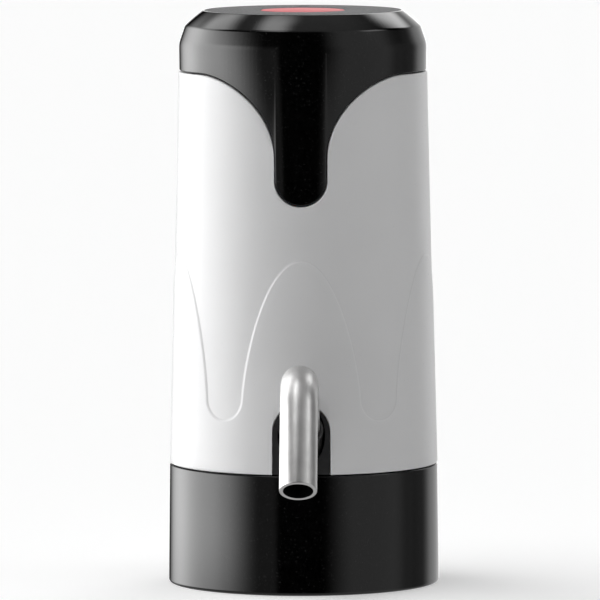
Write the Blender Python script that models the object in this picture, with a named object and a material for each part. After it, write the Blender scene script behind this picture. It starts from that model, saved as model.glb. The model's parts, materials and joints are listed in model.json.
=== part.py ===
# Bottled water pump: a battery pump that stands on a water bottle's neck
# Heights are measured up from the bottom rim of the base collar
# The part's own origin is the flat seat that the bottle's neck meets, on the body's axis

import math

import bmesh
import bpy
from mathutils import Vector

# Clearance between pieces that touch, and how far a cutter passes a face
GAP = 0.0003
OVERRUN = 0.001
DRAFT = 0.0001

# Outer form
BODY_HEIGHT = 0.1395
NECK_DEPTH = 0.025
CAP_HEIGHT = 0.0145
SHELL_BOTTOM_RADIUS = 0.03245
SHELL_TAPER = 0.0022
SHELL_WAIST = 0.00006
SHELL_WALL = 0.002
COLLAR_STEP = 0.0002
COLLAR_FLARE = 0.00035
COLLAR_LIP = 0.0019
RIM_FILLET = 0.0008

# Wave relief that runs round the lower half of the shell
WAVE_COUNT = 5
WAVE_PEAK_SPACE = 0.01325
WAVE_TROUGH_RISE = 0.0183
WAVE_TROUGH_RADIUS = 0.00535
WAVE_RELIEF = 0.0003
WAVE_BEVEL = 0.0003
WAVE_FLANK_SHARE = 0.714
WAVE_COLUMN_SHARES = (0.0, 0.4, 0.72, 0.92, 1.0, 1.05, 1.18, 1.5, 2.05, 2.75)
COLUMN_MERGE_SHARE = 0.06

# Edge of the cap and its tongue, unrolled along the shell
TONGUE_RADIUS = 0.00625
TONGUE_LENGTH = 0.0248
TONGUE_FLARE_DROP = 0.02
TONGUE_FLARE_WIDTH = 0.02325
TONGUE_INSET = 0.0002
TONGUE_COLUMN_SHARES = (0.0, 0.4, 0.72, 0.92, 1.0, 1.04, 1.15, 1.4, 1.85, 2.5, 3.3)

# Arched window at the front of the shell, filled by the chassis
ARCH_HALF_WIDTH = 0.0071
ARCH_CENTRE_RISE = 0.0105
ARCH_INSET = 0.0004
ARCH_COLUMN_SHARES = (0.4, 0.72, 0.92, 1.0)
ARCH_BLOCK_DEPTH = 0.006
ARCH_STEPS = 12

# Cap
CAP_FLAT_INSET = 0.00615
CAP_CHAMFER_INSET = 0.00205
CAP_CHAMFER_DROP = 0.0039
CAP_SHOULDER_INSET = 0.00025
CAP_SHOULDER_DROP = 0.0082
CAP_EDGE_ROUND = 0.0003
CAP_LIP = 0.0004
CAP_WALL = 0.0024
CAP_PLATE = 0.0029
CAP_COARSE_STEP_DEG = 9.0
SNAP_ANGLES_DEG = (70.0, 130.0, -70.0, -130.0)
SNAP_HALF_WIDTH = 0.003
SNAP_THICKNESS = 0.0011
SNAP_REACH = 0.0041

# Top panel, button and indicator
PANEL_THICKNESS = 0.0009
BUTTON_RADIUS = 0.0103
BUTTON_FLANGE = 0.0016
BUTTON_FLANGE_THICKNESS = 0.0014
BUTTON_TOP_THICKNESS = 0.0016
BUTTON_WALL = 0.0013
BUTTON_STEM_RADIUS = 0.003
BUTTON_EDGE = 0.0003
INDICATOR_RADIUS = 0.0014
INDICATOR_PLACE_SHARE = 0.487
LED_WIDTH = 0.0032
LED_DEPTH = 0.0016
LED_HEIGHT = 0.0016

# Control board and what it carries
BOARD_DROP = 0.0026
BOARD_THICKNESS = 0.0016
BOARD_SCREW_INSET = 0.00505
BOARD_SCREW_Y = 0.003
SWITCH_WIDTH = 0.006
SWITCH_HEIGHT = 0.0035
PLUNGER_RADIUS = 0.0016
PLUNGER_PROUD = 0.0013
PLUNGER_TRAVEL = 0.0005
PORT_WIDTH = 0.00894
PORT_HEIGHT = 0.00326
PORT_LENGTH = 0.0085
PORT_WALL = 0.00035
PORT_BACK = 0.0012
PORT_TONGUE_WIDTH = 0.0064
PORT_TONGUE_THICKNESS = 0.0007
PORT_RECESS = 0.0005
CHIP_WIDTH = 0.005
CHIP_HEIGHT = 0.0012
COIL_RADIUS = 0.0034
COIL_HEIGHT = 0.003
CAPACITOR_RADIUS = 0.0025
CAPACITOR_HEIGHT = 0.0055
COMPONENT_X = 0.012
COMPONENT_Y = 0.011

# Battery
BATTERY_RADIUS = 0.0092
BATTERY_LENGTH = 0.065
BATTERY_SPACE = 0.0004
BATTERY_CAP_RADIUS = 0.0032
BATTERY_CAP_HEIGHT = 0.0008
CRADLE_WALL = 0.0012
CRADLE_HEIGHT = 0.055
CRADLE_ANGLE_DEG = 200.0

# Pump with two meshed gears
GEAR_TEETH = 10
GEAR_MODULE = 0.001
GEAR_PRESSURE_DEG = 22.0
GEAR_BACKLASH = 0.00028
GEAR_TIP = 0.00092
GEAR_ROOT = 0.00125
GEAR_LENGTH = 0.008
PUMP_Y = -0.0095
PUMP_RISE = 0.011
PUMP_HALF_LENGTH = 0.0133
PUMP_HALF_WIDTH = 0.008
PUMP_CORNER = 0.0024
PUMP_COVER_THICKNESS = 0.0024
PUMP_GASKET_THICKNESS = 0.0007
PUMP_ROOF = 0.0026
PUMP_SCREW_X = 0.0112
PUMP_SCREW_Y = 0.0059
PORT_OFFSET = 0.0049
NIPPLE_RADIUS = 0.0024
NIPPLE_BORE = 0.0016
NIPPLE_LENGTH = 0.0036
IDLER_PIN_RADIUS = 0.001
IDLER_PIN_SEAT = 0.0015

# Motor
MOTOR_RADIUS = 0.011
MOTOR_LENGTH = 0.0305
MOTOR_WALL = 0.001
MOTOR_SEAT_WALL = 0.0012
MOTOR_SEAT_PLATE = 0.0016
MOTOR_SEAT_DEPTH = 0.004
MOTOR_CAP_THICKNESS = 0.0024
SHAFT_RADIUS = 0.001
SHAFT_CLEARANCE = 0.0004
ARMATURE_SPACE = 0.0027
ARMATURE_LENGTH = 0.014
ARMATURE_SLOTS = 3
ARMATURE_SLOT_SHARE = 0.5
COMMUTATOR_RADIUS = 0.0032
COMMUTATOR_LENGTH = 0.005
COMMUTATOR_SPACE = 0.002
LEAD_RADIUS = 0.0006
LEAD_SPREAD = 0.003
LEAD_STEPS = 8

# Chassis
FLOOR_THICKNESS = 0.002
CEILING_THICKNESS = 0.002
FLOOR_CLEARANCE = 0.00035
POST_RADIUS = 0.0024
BOARD_POST_RADIUS = 0.0026
INLET_RADIUS = 0.004
INLET_BORE = 0.0026
INLET_BARB = 0.0005
INLET_BARB_LENGTH = 0.002
INLET_LENGTH = 0.017
INLET_HOLE_CLEARANCE = 0.0006
SPIGOT_RADIUS = 0.0032
SPIGOT_LENGTH = 0.0045
HOSE_WALL = 0.0013
OUTLET_PORT_RADIUS = 0.0047
OUTLET_PORT_DROP = 0.0013
OUTLET_SEAT_DEPTH = 0.0026
OUTLET_CROSS_RISE = 0.0029
WATERWAY_WALL = 0.0014
SEAL_SECTION_RADIUS = 0.0004

# Spout and its socket
SOCKET_DROP = 0.0002
SOCKET_TILT_DEG = 43.0
SOCKET_BORE = 0.0057
SOCKET_WALL = 0.0014
SOCKET_DEPTH = 0.0083
SOCKET_END_BORE = 0.004
SOCKET_END_DEPTH = 0.0023
SOCKET_END_WALL = 0.0014
SPOUT_RADIUS = 0.0045
SPOUT_WALL = 0.001
SPOUT_RISE = 0.0132
SPOUT_BEND_RADIUS = 0.0125
SPOUT_BEND_DEG = 103.0
SPOUT_DROP = 0.0213
SPOUT_RIM = 0.0003
SPOUT_BEND_STEPS = 11
SPOUT_SIDES = 16
BUSH_WALL = 0.0004
BUSH_LIP = 0.0002
BUSH_LIP_LENGTH = 0.0014
BUSH_PROUD = 0.0026

# Collar and neck grip
COLLAR_WALL = 0.00205
GRIP_LIP_WIDTH = 0.0044
GRIP_LIP_HEIGHT = 0.002
GRIP_WALL = 0.002
GRIP_RIB = 0.0008
GRIP_RIB_HEIGHT = 0.0015
GRIP_RIB_COUNT = 3

# Screws
SCREW_RADIUS = 0.00075
SCREW_HEAD_RADIUS = 0.0018
SCREW_HEAD_HEIGHT = 0.0012
SCREW_LENGTH = 0.006

# Facets round a turn
COLLAR_SIDES = 46
BUTTON_SIDES = 36
MIDDLE_SIDES = 24
SMALL_SIDES = 12
TINY_SIDES = 8
SEAL_SIDES = 6

# Steps along the round stretches of an outline
CORNER_STEPS = 2
PORT_END_STEPS = 4
POLE_STEPS = 4
CHAMBER_STEPS = 11
POCKET_STEPS = 5
CRADLE_STEPS = 9
ENVELOPE_SIDES = 72

# Places that follow from the sizes above
SHELL_TOP_RADIUS = SHELL_BOTTOM_RADIUS - SHELL_TAPER
COLLAR_TOP_RADIUS = SHELL_BOTTOM_RADIUS + COLLAR_STEP
RIM_RADIUS = COLLAR_TOP_RADIUS + COLLAR_FLARE
COLLAR_HEIGHT = NECK_DEPTH + CEILING_THICKNESS + COLLAR_LIP
GRIP_LIP_RADIUS = RIM_RADIUS - GRIP_LIP_WIDTH
RELIEF_RADIUS = SHELL_BOTTOM_RADIUS - WAVE_RELIEF
SHELL_TOP_LEVEL = BODY_HEIGHT - CAP_HEIGHT
TONGUE_CENTRE_LEVEL = SHELL_TOP_LEVEL - TONGUE_LENGTH
TONGUE_FLARE_LEVEL = SHELL_TOP_LEVEL - TONGUE_FLARE_DROP
WAVE_PEAK_LEVEL = TONGUE_CENTRE_LEVEL - TONGUE_RADIUS - WAVE_PEAK_SPACE
WAVE_TROUGH_LEVEL = COLLAR_HEIGHT + WAVE_TROUGH_RISE
ARCH_CENTRE_LEVEL = COLLAR_HEIGHT + ARCH_CENTRE_RISE
SOCKET_LEVEL = ARCH_CENTRE_LEVEL - SOCKET_DROP
CAP_FLAT_RADIUS = SHELL_TOP_RADIUS - CAP_FLAT_INSET
CAP_CHAMFER_RADIUS = SHELL_TOP_RADIUS - CAP_CHAMFER_INSET
CAP_CHAMFER_LEVEL = BODY_HEIGHT - CAP_CHAMFER_DROP
CAP_SHOULDER_RADIUS = SHELL_TOP_RADIUS - CAP_SHOULDER_INSET
CAP_SHOULDER_LEVEL = BODY_HEIGHT - CAP_SHOULDER_DROP
FLOOR_RADIUS = SHELL_BOTTOM_RADIUS - SHELL_WALL - FLOOR_CLEARANCE
FLOOR_LEVEL = NECK_DEPTH + CEILING_THICKNESS + GAP
FLOOR_TOP = FLOOR_LEVEL + FLOOR_THICKNESS
INLET_TIP_LEVEL = NECK_DEPTH - INLET_LENGTH
PUMP_LEVEL = FLOOR_TOP + PUMP_RISE
OUTLET_PORT_LEVEL = PUMP_LEVEL - OUTLET_PORT_DROP
OUTLET_CROSS_LEVEL = FLOOR_TOP + OUTLET_CROSS_RISE
CAP_SKIRT_RADIUS = SHELL_TOP_RADIUS - TONGUE_INSET
CAP_INNER_RADIUS = CAP_SKIRT_RADIUS - CAP_WALL
CAP_PLATE_UNDERSIDE = BODY_HEIGHT - CAP_PLATE
PANEL_RADIUS = CAP_FLAT_RADIUS - CAP_LIP - GAP
PANEL_SEAT_LEVEL = BODY_HEIGHT - PANEL_THICKNESS - GAP
BUTTON_FLANGE_RADIUS = BUTTON_RADIUS + BUTTON_FLANGE
INDICATOR_SPACE = PANEL_RADIUS - BUTTON_FLANGE_RADIUS
INDICATOR_OFFSET = BUTTON_FLANGE_RADIUS + INDICATOR_SPACE * INDICATOR_PLACE_SHARE
BOARD_RADIUS = CAP_INNER_RADIUS - SNAP_THICKNESS
BOARD_SCREW_X = BOARD_RADIUS - BOARD_SCREW_INSET
BOARD_LEVEL = SHELL_TOP_LEVEL - BOARD_DROP
BOARD_TOP = BOARD_LEVEL + BOARD_THICKNESS
GEAR_PITCH_RADIUS = GEAR_TEETH * GEAR_MODULE / 2
CHAMBER_RADIUS = GEAR_PITCH_RADIUS + GEAR_TIP + GAP
GASKET_LEVEL = PUMP_LEVEL + PUMP_COVER_THICKNESS + GAP
PUMP_BODY_LEVEL = GASKET_LEVEL + PUMP_GASKET_THICKNESS + GAP
GEAR_LEVEL = GASKET_LEVEL
CHAMBER_TOP = GEAR_LEVEL + GEAR_LENGTH + GAP
PUMP_BODY_TOP = CHAMBER_TOP + PUMP_ROOF
MOTOR_PLATE_TOP = PUMP_BODY_TOP + MOTOR_SEAT_PLATE / 2
MOTOR_LEVEL = MOTOR_PLATE_TOP + GAP
MOTOR_TOP = MOTOR_LEVEL + MOTOR_LENGTH
MOTOR_CAP_LEVEL = MOTOR_TOP + GAP
MOTOR_SEAT_RADIUS = MOTOR_RADIUS + GAP + MOTOR_SEAT_WALL
ARMATURE_RADIUS = MOTOR_RADIUS - MOTOR_WALL - ARMATURE_SPACE
BATTERY_Y = PUMP_Y + MOTOR_SEAT_RADIUS + BATTERY_SPACE + BATTERY_RADIUS
INLET_Y = PUMP_Y + PORT_OFFSET
OUTLET_Y = PUMP_Y - PORT_OFFSET
SCREW_HOLE_RADIUS = SCREW_RADIUS + GAP
SHAFT_HOLE_RADIUS = SHAFT_RADIUS + SHAFT_CLEARANCE
BATTERY_LEVEL = FLOOR_TOP + GAP
PORT_LEVEL = BOARD_LEVEL - GAP - PORT_HEIGHT / 2
PLUNGER_TOP = BOARD_TOP + GAP + SWITCH_HEIGHT + PLUNGER_PROUD


# Frame and materials

def clear_scene():
    for thing in list(bpy.data.objects):
        bpy.data.objects.remove(thing)


def make_empty(name, parent, location, tilt=0.0):
    empty = bpy.data.objects.new(name, None)
    bpy.context.scene.collection.objects.link(empty)
    empty.parent = parent
    empty.location = location
    empty.rotation_euler = (tilt, 0.0, 0.0)
    return empty


def make_material(name, colour, roughness, metallic):
    material = bpy.data.materials.new(name)
    material.use_nodes = True
    shader = material.node_tree.nodes["Principled BSDF"]
    shader.inputs["Base Color"].default_value = (*colour, 1.0)
    shader.inputs["Roughness"].default_value = roughness
    shader.inputs["Metallic"].default_value = metallic
    return material


# One table of finishes: colour, roughness and metallic value
FINISHES = {
    "white_plastic": ((0.83, 0.83, 0.84), 0.32, 0.0),
    "black_gloss": ((0.012, 0.012, 0.014), 0.14, 0.0),
    "black_plastic": ((0.03, 0.03, 0.032), 0.4, 0.0),
    "grained_panel": ((0.16, 0.16, 0.16), 0.6, 0.0),
    "red_button": ((0.78, 0.09, 0.11), 0.4, 0.0),
    "smoked_lens": ((0.03, 0.03, 0.05), 0.15, 0.0),
    "board_green": ((0.02, 0.16, 0.06), 0.45, 0.0),
    "led_resin": ((0.85, 0.85, 0.75), 0.3, 0.0),
    "steel": ((0.62, 0.61, 0.59), 0.28, 1.0),
    "battery_wrap": ((0.05, 0.2, 0.5), 0.4, 0.0),
    "red_wire": ((0.6, 0.03, 0.03), 0.45, 0.0),
    "pump_plastic": ((0.7, 0.7, 0.68), 0.4, 0.0),
    "gear_plastic": ((0.85, 0.83, 0.76), 0.4, 0.0),
    "silicone": ((0.75, 0.76, 0.77), 0.55, 0.0),
    "black_silicone": ((0.02, 0.02, 0.02), 0.5, 0.0),
    "copper": ((0.72, 0.38, 0.22), 0.35, 1.0),
}


# Mesh helpers

def finish_mesh(name, bm, parent, finish, location=(0.0, 0.0, 0.0), tilt=0.0):
    bmesh.ops.remove_doubles(bm, verts=bm.verts, dist=GAP / 1000)
    bmesh.ops.recalc_face_normals(bm, faces=bm.faces)
    mesh = bpy.data.meshes.new(name)
    bm.to_mesh(mesh)
    bm.free()
    mesh.shade_smooth()
    mesh.set_sharp_from_angle(angle=math.radians(32.0))
    thing = bpy.data.objects.new(name, mesh)
    bpy.context.scene.collection.objects.link(thing)
    thing.parent = parent
    thing.location = location
    thing.rotation_euler = (tilt, 0.0, 0.0)
    if finish:
        mesh.materials.append(make_material(name, *FINISHES[finish]))
    return thing


def combine(target, tool, operation):
    modifier = target.modifiers.new(tool.name, "BOOLEAN")
    modifier.operation = operation
    modifier.solver = "EXACT"
    modifier.object = tool
    tool.hide_render = True
    tool.display_type = "WIRE"


def circle(radius, count, centre=(0.0, 0.0)):
    turn = 2 * math.pi / count
    return [(centre[0] + radius * math.cos(turn * i), centre[1] + radius * math.sin(turn * i))
            for i in range(count)]


def rectangle(half_x, half_y, centre=(0.0, 0.0)):
    signs = ((-1, -1), (1, -1), (1, 1), (-1, 1))
    return [(centre[0] + half_x * sx, centre[1] + half_y * sy) for sx, sy in signs]


def rounded_rectangle(half_x, half_y, corner, steps, centre=(0.0, 0.0)):
    points = []
    for quarter, (sx, sy) in enumerate(((1, 1), (-1, 1), (-1, -1), (1, -1))):
        for step in range(steps + 1):
            turn = math.pi / 2 * (quarter + step / steps)
            x = centre[0] + sx * (half_x - corner) + corner * math.cos(turn)
            y = centre[1] + sy * (half_y - corner) + corner * math.sin(turn)
            if not points or math.dist(points[-1], (x, y)) > corner / 1000:
                points.append((x, y))
    return points if math.dist(points[-1], points[0]) > corner / 1000 else points[:-1]


def add_prism(bm, outlines, low, high):
    # The first outline is the outer one, and the rest are holes through it
    edges = []
    for outline in outlines:
        verts = [bm.verts.new((x, y, low)) for x, y in outline]
        edges += [bm.edges.new((verts[i - 1], verts[i])) for i in range(len(verts))]
    filled = bmesh.ops.triangle_fill(bm, edges=edges, use_beauty=True, use_dissolve=False)
    faces = [item for item in filled["geom"] if isinstance(item, bmesh.types.BMFace)]
    lifted = bmesh.ops.extrude_face_region(bm, geom=faces)["geom"]
    top = [item for item in lifted if isinstance(item, bmesh.types.BMVert)]
    bmesh.ops.translate(bm, verts=top, vec=(0.0, 0.0, high - low))


def add_turned(bm, profile, sides, centre=(0.0, 0.0)):
    # A closed profile of radius and height, spun about a vertical axis
    verts = [bm.verts.new((centre[0] + radius, centre[1], level)) for radius, level in profile]
    edges = [bm.edges.new((verts[i - 1], verts[i])) for i in range(len(verts))]
    bmesh.ops.spin(bm, geom=verts + edges, cent=(*centre, 0.0), axis=(0.0, 0.0, 1.0),
                   angle=2 * math.pi, steps=sides, use_merge=True)
    bmesh.ops.remove_doubles(bm, verts=bm.verts, dist=GAP / 1000)


def add_sweep(bm, sections, sides):
    # Each section has a centre, a direction in the YZ plane, an outer and an inner radius
    rings = []
    for centre, direction, outer, inner in sections:
        up = Vector((1.0, 0.0, 0.0))
        side = direction.cross(up)
        for radius in (outer, inner):
            ring = []
            for i in range(sides):
                turn = 2 * math.pi * i / sides
                offset = up * radius * math.cos(turn) + side * radius * math.sin(turn)
                ring.append(bm.verts.new(centre + offset))
            rings.append(ring)
    outer_rings = rings[0::2]
    inner_rings = rings[1::2]
    loop = outer_rings + inner_rings[::-1]
    for near, far in zip(loop, loop[1:] + loop[:1]):
        for i in range(sides):
            bm.faces.new((near[i - 1], near[i], far[i], far[i - 1]))


def add_skin(bm, rows, angles):
    # The wall's section at each angle is a closed list of radius and level
    sections = []
    for angle in angles:
        section = []
        for radius, level in rows(angle):
            section.append(bm.verts.new((radius * math.sin(angle), -radius * math.cos(angle), level)))
        sections.append(section)
    for near, far in zip(sections, sections[1:] + sections[:1]):
        for i in range(len(near)):
            bm.faces.new((near[i - 1], near[i], far[i], far[i - 1]))


def turned(name, parent, finish, profile, sides, centre=(0.0, 0.0)):
    bm = bmesh.new()
    add_turned(bm, profile, sides, centre)
    return finish_mesh(name, bm, parent, finish)


def prism(name, parent, finish, outlines, low, high):
    bm = bmesh.new()
    add_prism(bm, outlines, low, high)
    return finish_mesh(name, bm, parent, finish)


def posts(name, parent, finish, centres, radius, low, high, sides):
    bm = bmesh.new()
    for centre in centres:
        add_prism(bm, [circle(radius, sides, centre)], low, high)
    return finish_mesh(name, bm, parent, finish)


# Curves that the shell, cap and chassis share

def shell_radius(level):
    fall = (SHELL_TOP_LEVEL - level) / (SHELL_TOP_LEVEL - COLLAR_HEIGHT)
    spread = (SHELL_BOTTOM_RADIUS - SHELL_TOP_RADIUS) * fall
    return SHELL_TOP_RADIUS + spread - SHELL_WAIST * 4 * fall * (1 - fall)


def tongue_arc_radius():
    return shell_radius(TONGUE_CENTRE_LEVEL)


def cap_edge_level(angle, gap):
    # Semicircular tongue, then a quarter ellipse that flares into the level edge
    arc = abs(angle) * tongue_arc_radius()
    radius = TONGUE_RADIUS + gap
    if arc <= radius:
        return TONGUE_CENTRE_LEVEL - math.sqrt(max(radius ** 2 - arc ** 2, 0.0))
    width = TONGUE_FLARE_WIDTH - gap
    across = (radius + width - arc) / width
    if across <= 0.0:
        return SHELL_TOP_LEVEL - gap
    rise = SHELL_TOP_LEVEL - gap - TONGUE_FLARE_LEVEL
    return TONGUE_FLARE_LEVEL + rise * math.sqrt(1 - across ** 2)


def wave_level(angle, grow):
    # Semicircular troughs, joined by steep flanks to broad peaks
    pitch = 2 * math.pi / WAVE_COUNT
    from_peak = abs((angle + pitch / 2) % pitch - pitch / 2)
    half_arc = RELIEF_RADIUS * pitch / 2
    from_trough = half_arc - RELIEF_RADIUS * from_peak
    radius = WAVE_TROUGH_RADIUS + grow
    if from_trough <= radius:
        return WAVE_TROUGH_LEVEL - math.sqrt(max(radius ** 2 - from_trough ** 2, 0.0))
    across = (half_arc - from_trough) / (half_arc - radius)
    rise = WAVE_PEAK_LEVEL - grow - WAVE_TROUGH_LEVEL
    return WAVE_TROUGH_LEVEL + rise * (1 - across ** 2) ** WAVE_FLANK_SHARE


def arch_level(angle):
    arc = abs(angle) * SHELL_BOTTOM_RADIUS
    if arc > ARCH_HALF_WIDTH:
        return COLLAR_HEIGHT + GAP
    return ARCH_CENTRE_LEVEL + math.sqrt(ARCH_HALF_WIDTH ** 2 - arc ** 2)


def mirrored(angles):
    return [-angle for angle in angles if angle > 0.0] + list(angles)


def tongue_angles(gap):
    radius = TONGUE_RADIUS + gap
    angles = [share * radius / tongue_arc_radius() for share in TONGUE_COLUMN_SHARES]
    end = (TONGUE_RADIUS + TONGUE_FLARE_WIDTH) / tongue_arc_radius()
    return mirrored([angle for angle in angles if angle < end] + [end])


def arch_angles():
    half = ARCH_HALF_WIDTH / SHELL_BOTTOM_RADIUS
    return mirrored([share * half for share in ARCH_COLUMN_SHARES] + [half + DRAFT / SHELL_BOTTOM_RADIUS])


def wave_angles():
    pitch = 2 * math.pi / WAVE_COUNT
    trough = WAVE_TROUGH_RADIUS / RELIEF_RADIUS
    angles = []
    for wave in range(WAVE_COUNT):
        centre = pitch * (wave + 0.5)
        for offset in mirrored([share * trough for share in WAVE_COLUMN_SHARES]):
            angles.append((centre + offset + math.pi) % (2 * math.pi) - math.pi)
        angles.append((pitch * wave + math.pi) % (2 * math.pi) - math.pi)
    return angles


def thinned(angles, keep, step):
    # Columns closer than the step are dropped, but never the ones to keep
    chosen = sorted(keep)
    for angle in sorted(angles):
        if all(abs(angle - other) > step for other in chosen):
            chosen.append(angle)
    return sorted(chosen)


# Outer shell and cap

def shell_rows(angle):
    # Up the outside over the wave's two edges, and down the inside
    bottom = arch_level(angle)
    crest = wave_level(angle, WAVE_BEVEL)
    foot = wave_level(angle, -WAVE_BEVEL)
    top = cap_edge_level(angle, GAP)
    return (
        (shell_radius(bottom) + WAVE_RELIEF, bottom),
        (shell_radius(crest) + WAVE_RELIEF, crest),
        (shell_radius(foot), foot),
        (shell_radius(top), top),
        (shell_radius(top) - SHELL_WALL, top),
        (shell_radius(bottom) - SHELL_WALL, bottom),
    )


def build_shell(frame):
    edges = arch_angles() + tongue_angles(GAP)
    step = WAVE_TROUGH_RADIUS / RELIEF_RADIUS * COLUMN_MERGE_SHARE
    angles = thinned(wave_angles(), thinned(edges, [], DRAFT / RELIEF_RADIUS / 2), step)
    bm = bmesh.new()
    add_skin(bm, shell_rows, angles)
    shell = finish_mesh("outer_shell", bm, frame, "white_plastic")
    combine(shell, port_prism("port_window", frame, None, GAP, PORT_LENGTH), "DIFFERENCE")
    return shell


def cap_rows(angle):
    # From the panel's recess over the chamfer and shoulder to the edge, and back inside
    edge = cap_edge_level(angle, 0.0)
    outer = shell_radius(edge) - TONGUE_INSET
    slope = CAP_EDGE_ROUND
    hole = BUTTON_RADIUS + GAP
    seat = PANEL_RADIUS + GAP
    return (
        (seat, BODY_HEIGHT),
        (CAP_FLAT_RADIUS, BODY_HEIGHT),
        (CAP_CHAMFER_RADIUS - slope, CAP_CHAMFER_LEVEL + slope),
        (CAP_CHAMFER_RADIUS + slope / 2, CAP_CHAMFER_LEVEL - slope),
        (CAP_SHOULDER_RADIUS - slope / 2, CAP_SHOULDER_LEVEL + slope),
        (CAP_SHOULDER_RADIUS, CAP_SHOULDER_LEVEL - slope),
        (outer, edge),
        (outer - CAP_WALL, edge),
        (CAP_INNER_RADIUS, CAP_SHOULDER_LEVEL - slope),
        (CAP_FLAT_RADIUS, CAP_PLATE_UNDERSIDE),
        (hole, CAP_PLATE_UNDERSIDE),
        (hole, PANEL_SEAT_LEVEL),
        (seat, PANEL_SEAT_LEVEL),
    )


def build_cap(frame):
    coarse = math.radians(CAP_COARSE_STEP_DEG)
    around = [coarse * i - math.pi for i in range(int(2 * math.pi / coarse))]
    angles = thinned(around, tongue_angles(0.0), coarse / 2)
    bm = bmesh.new()
    add_skin(bm, cap_rows, angles)
    cap = finish_mesh("top_cap", bm, frame, "black_gloss")
    combine(cap, snap_tabs(frame), "UNION")
    lens_hole = posts("lens_hole", frame, None, [(0.0, INDICATOR_OFFSET)], INDICATOR_RADIUS + GAP,
                      CAP_PLATE_UNDERSIDE - OVERRUN, BODY_HEIGHT, TINY_SIDES)
    combine(cap, lens_hole, "DIFFERENCE")
    return cap


def snap_tabs(frame):
    outer = SHELL_TOP_RADIUS - SHELL_WALL - GAP
    inner = outer - SNAP_THICKNESS
    low = SHELL_TOP_LEVEL - SNAP_REACH
    bm = bmesh.new()
    for degrees in SNAP_ANGLES_DEG:
        middle = math.radians(degrees)
        half = SNAP_HALF_WIDTH / outer
        outline = []
        for radius, direction in ((outer, 1), (inner, -1)):
            for share in (-1, 0, 1):
                angle = middle + direction * share * half
                outline.append((radius * math.sin(angle), -radius * math.cos(angle)))
        add_prism(bm, [outline], low, CAP_SHOULDER_LEVEL)
    return finish_mesh("snap_tabs", bm, frame, None)


# Panel, button and indicator

def build_panel(frame):
    holes = [circle(PANEL_RADIUS, COLLAR_SIDES),
             circle(BUTTON_RADIUS + GAP, BUTTON_SIDES),
             circle(INDICATOR_RADIUS + GAP, TINY_SIDES, (0.0, INDICATOR_OFFSET))]
    return prism("top_panel", frame, "grained_panel", holes, PANEL_SEAT_LEVEL + GAP, BODY_HEIGHT)


def build_button(frame):
    flange_top = CAP_PLATE_UNDERSIDE - GAP
    flange_low = flange_top - BUTTON_FLANGE_THICKNESS
    inner = BUTTON_RADIUS - BUTTON_WALL
    roof = BODY_HEIGHT - BUTTON_TOP_THICKNESS
    profile = [(0.0, BODY_HEIGHT), (BUTTON_RADIUS - BUTTON_EDGE, BODY_HEIGHT),
               (BUTTON_RADIUS, BODY_HEIGHT - BUTTON_EDGE), (BUTTON_RADIUS, flange_top),
               (BUTTON_FLANGE_RADIUS, flange_top), (BUTTON_FLANGE_RADIUS, flange_low),
               (inner, flange_low),
               (inner, roof), (BUTTON_STEM_RADIUS, roof), (BUTTON_STEM_RADIUS, PLUNGER_TOP + GAP),
               (0.0, PLUNGER_TOP + GAP)]
    turned("power_button", frame, "red_button", profile, BUTTON_SIDES)


def build_indicator(frame):
    centre = (0.0, INDICATOR_OFFSET)
    led_top = BOARD_TOP + GAP + LED_HEIGHT
    posts("indicator_lens", frame, "smoked_lens", [centre], INDICATOR_RADIUS, led_top + GAP,
          BODY_HEIGHT, TINY_SIDES)
    led = [rectangle(LED_WIDTH / 2, LED_DEPTH / 2, centre)]
    prism("status_led", frame, "led_resin", led, BOARD_TOP + GAP, led_top)


# Control board

def board_screw_places():
    return [(BOARD_SCREW_X, BOARD_SCREW_Y), (-BOARD_SCREW_X, BOARD_SCREW_Y)]


def build_board(frame):
    holes = [circle(SCREW_HOLE_RADIUS, TINY_SIDES, place) for place in board_screw_places()]
    outline = [circle(BOARD_RADIUS - GAP, COLLAR_SIDES)]
    prism("control_board", frame, "board_green", outline + holes, BOARD_LEVEL, BOARD_TOP)
    hole = circle(PLUNGER_RADIUS + GAP, SMALL_SIDES)
    body = rectangle(SWITCH_WIDTH / 2, SWITCH_WIDTH / 2)
    prism("switch_body", frame, "black_plastic", [body, hole], BOARD_TOP + GAP,
          BOARD_TOP + GAP + SWITCH_HEIGHT)
    plunger_low = BOARD_TOP + GAP + PLUNGER_TRAVEL
    posts("switch_plunger", frame, "pump_plastic", [(0.0, 0.0)], PLUNGER_RADIUS, plunger_low,
          PLUNGER_TOP, SMALL_SIDES)


def build_components(frame):
    top = BOARD_LEVEL - GAP
    chip = rectangle(CHIP_WIDTH / 2, CHIP_WIDTH / 2, (-COMPONENT_X, COMPONENT_Y))
    prism("charge_chip", frame, "black_plastic", [chip], top - CHIP_HEIGHT, top)
    posts("boost_coil", frame, "copper", [(COMPONENT_X, -COMPONENT_Y)], COIL_RADIUS, top - COIL_HEIGHT,
          top, SMALL_SIDES)
    posts("board_capacitor", frame, "steel", [(-COMPONENT_X, -COMPONENT_Y)], CAPACITOR_RADIUS,
          top - CAPACITOR_HEIGHT, top, SMALL_SIDES)


def port_prism(name, frame, finish, grow, length, holes=()):
    # A stadium laid on its side, whose mouth faces the back
    half_width = PORT_WIDTH / 2 + grow
    half_height = PORT_HEIGHT / 2 + grow
    outline = rounded_rectangle(half_width, half_height, half_height, PORT_END_STEPS)
    bm = bmesh.new()
    add_prism(bm, [outline, *holes], 0.0, length)
    mouth = shell_radius(PORT_LEVEL) - PORT_RECESS
    # The prism's own height runs forwards, from its mouth into the body
    start = mouth + (OVERRUN + PORT_RECESS if finish is None else 0.0)
    return finish_mesh(name, bm, frame, finish, (0.0, start, PORT_LEVEL), math.pi / 2)


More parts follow.
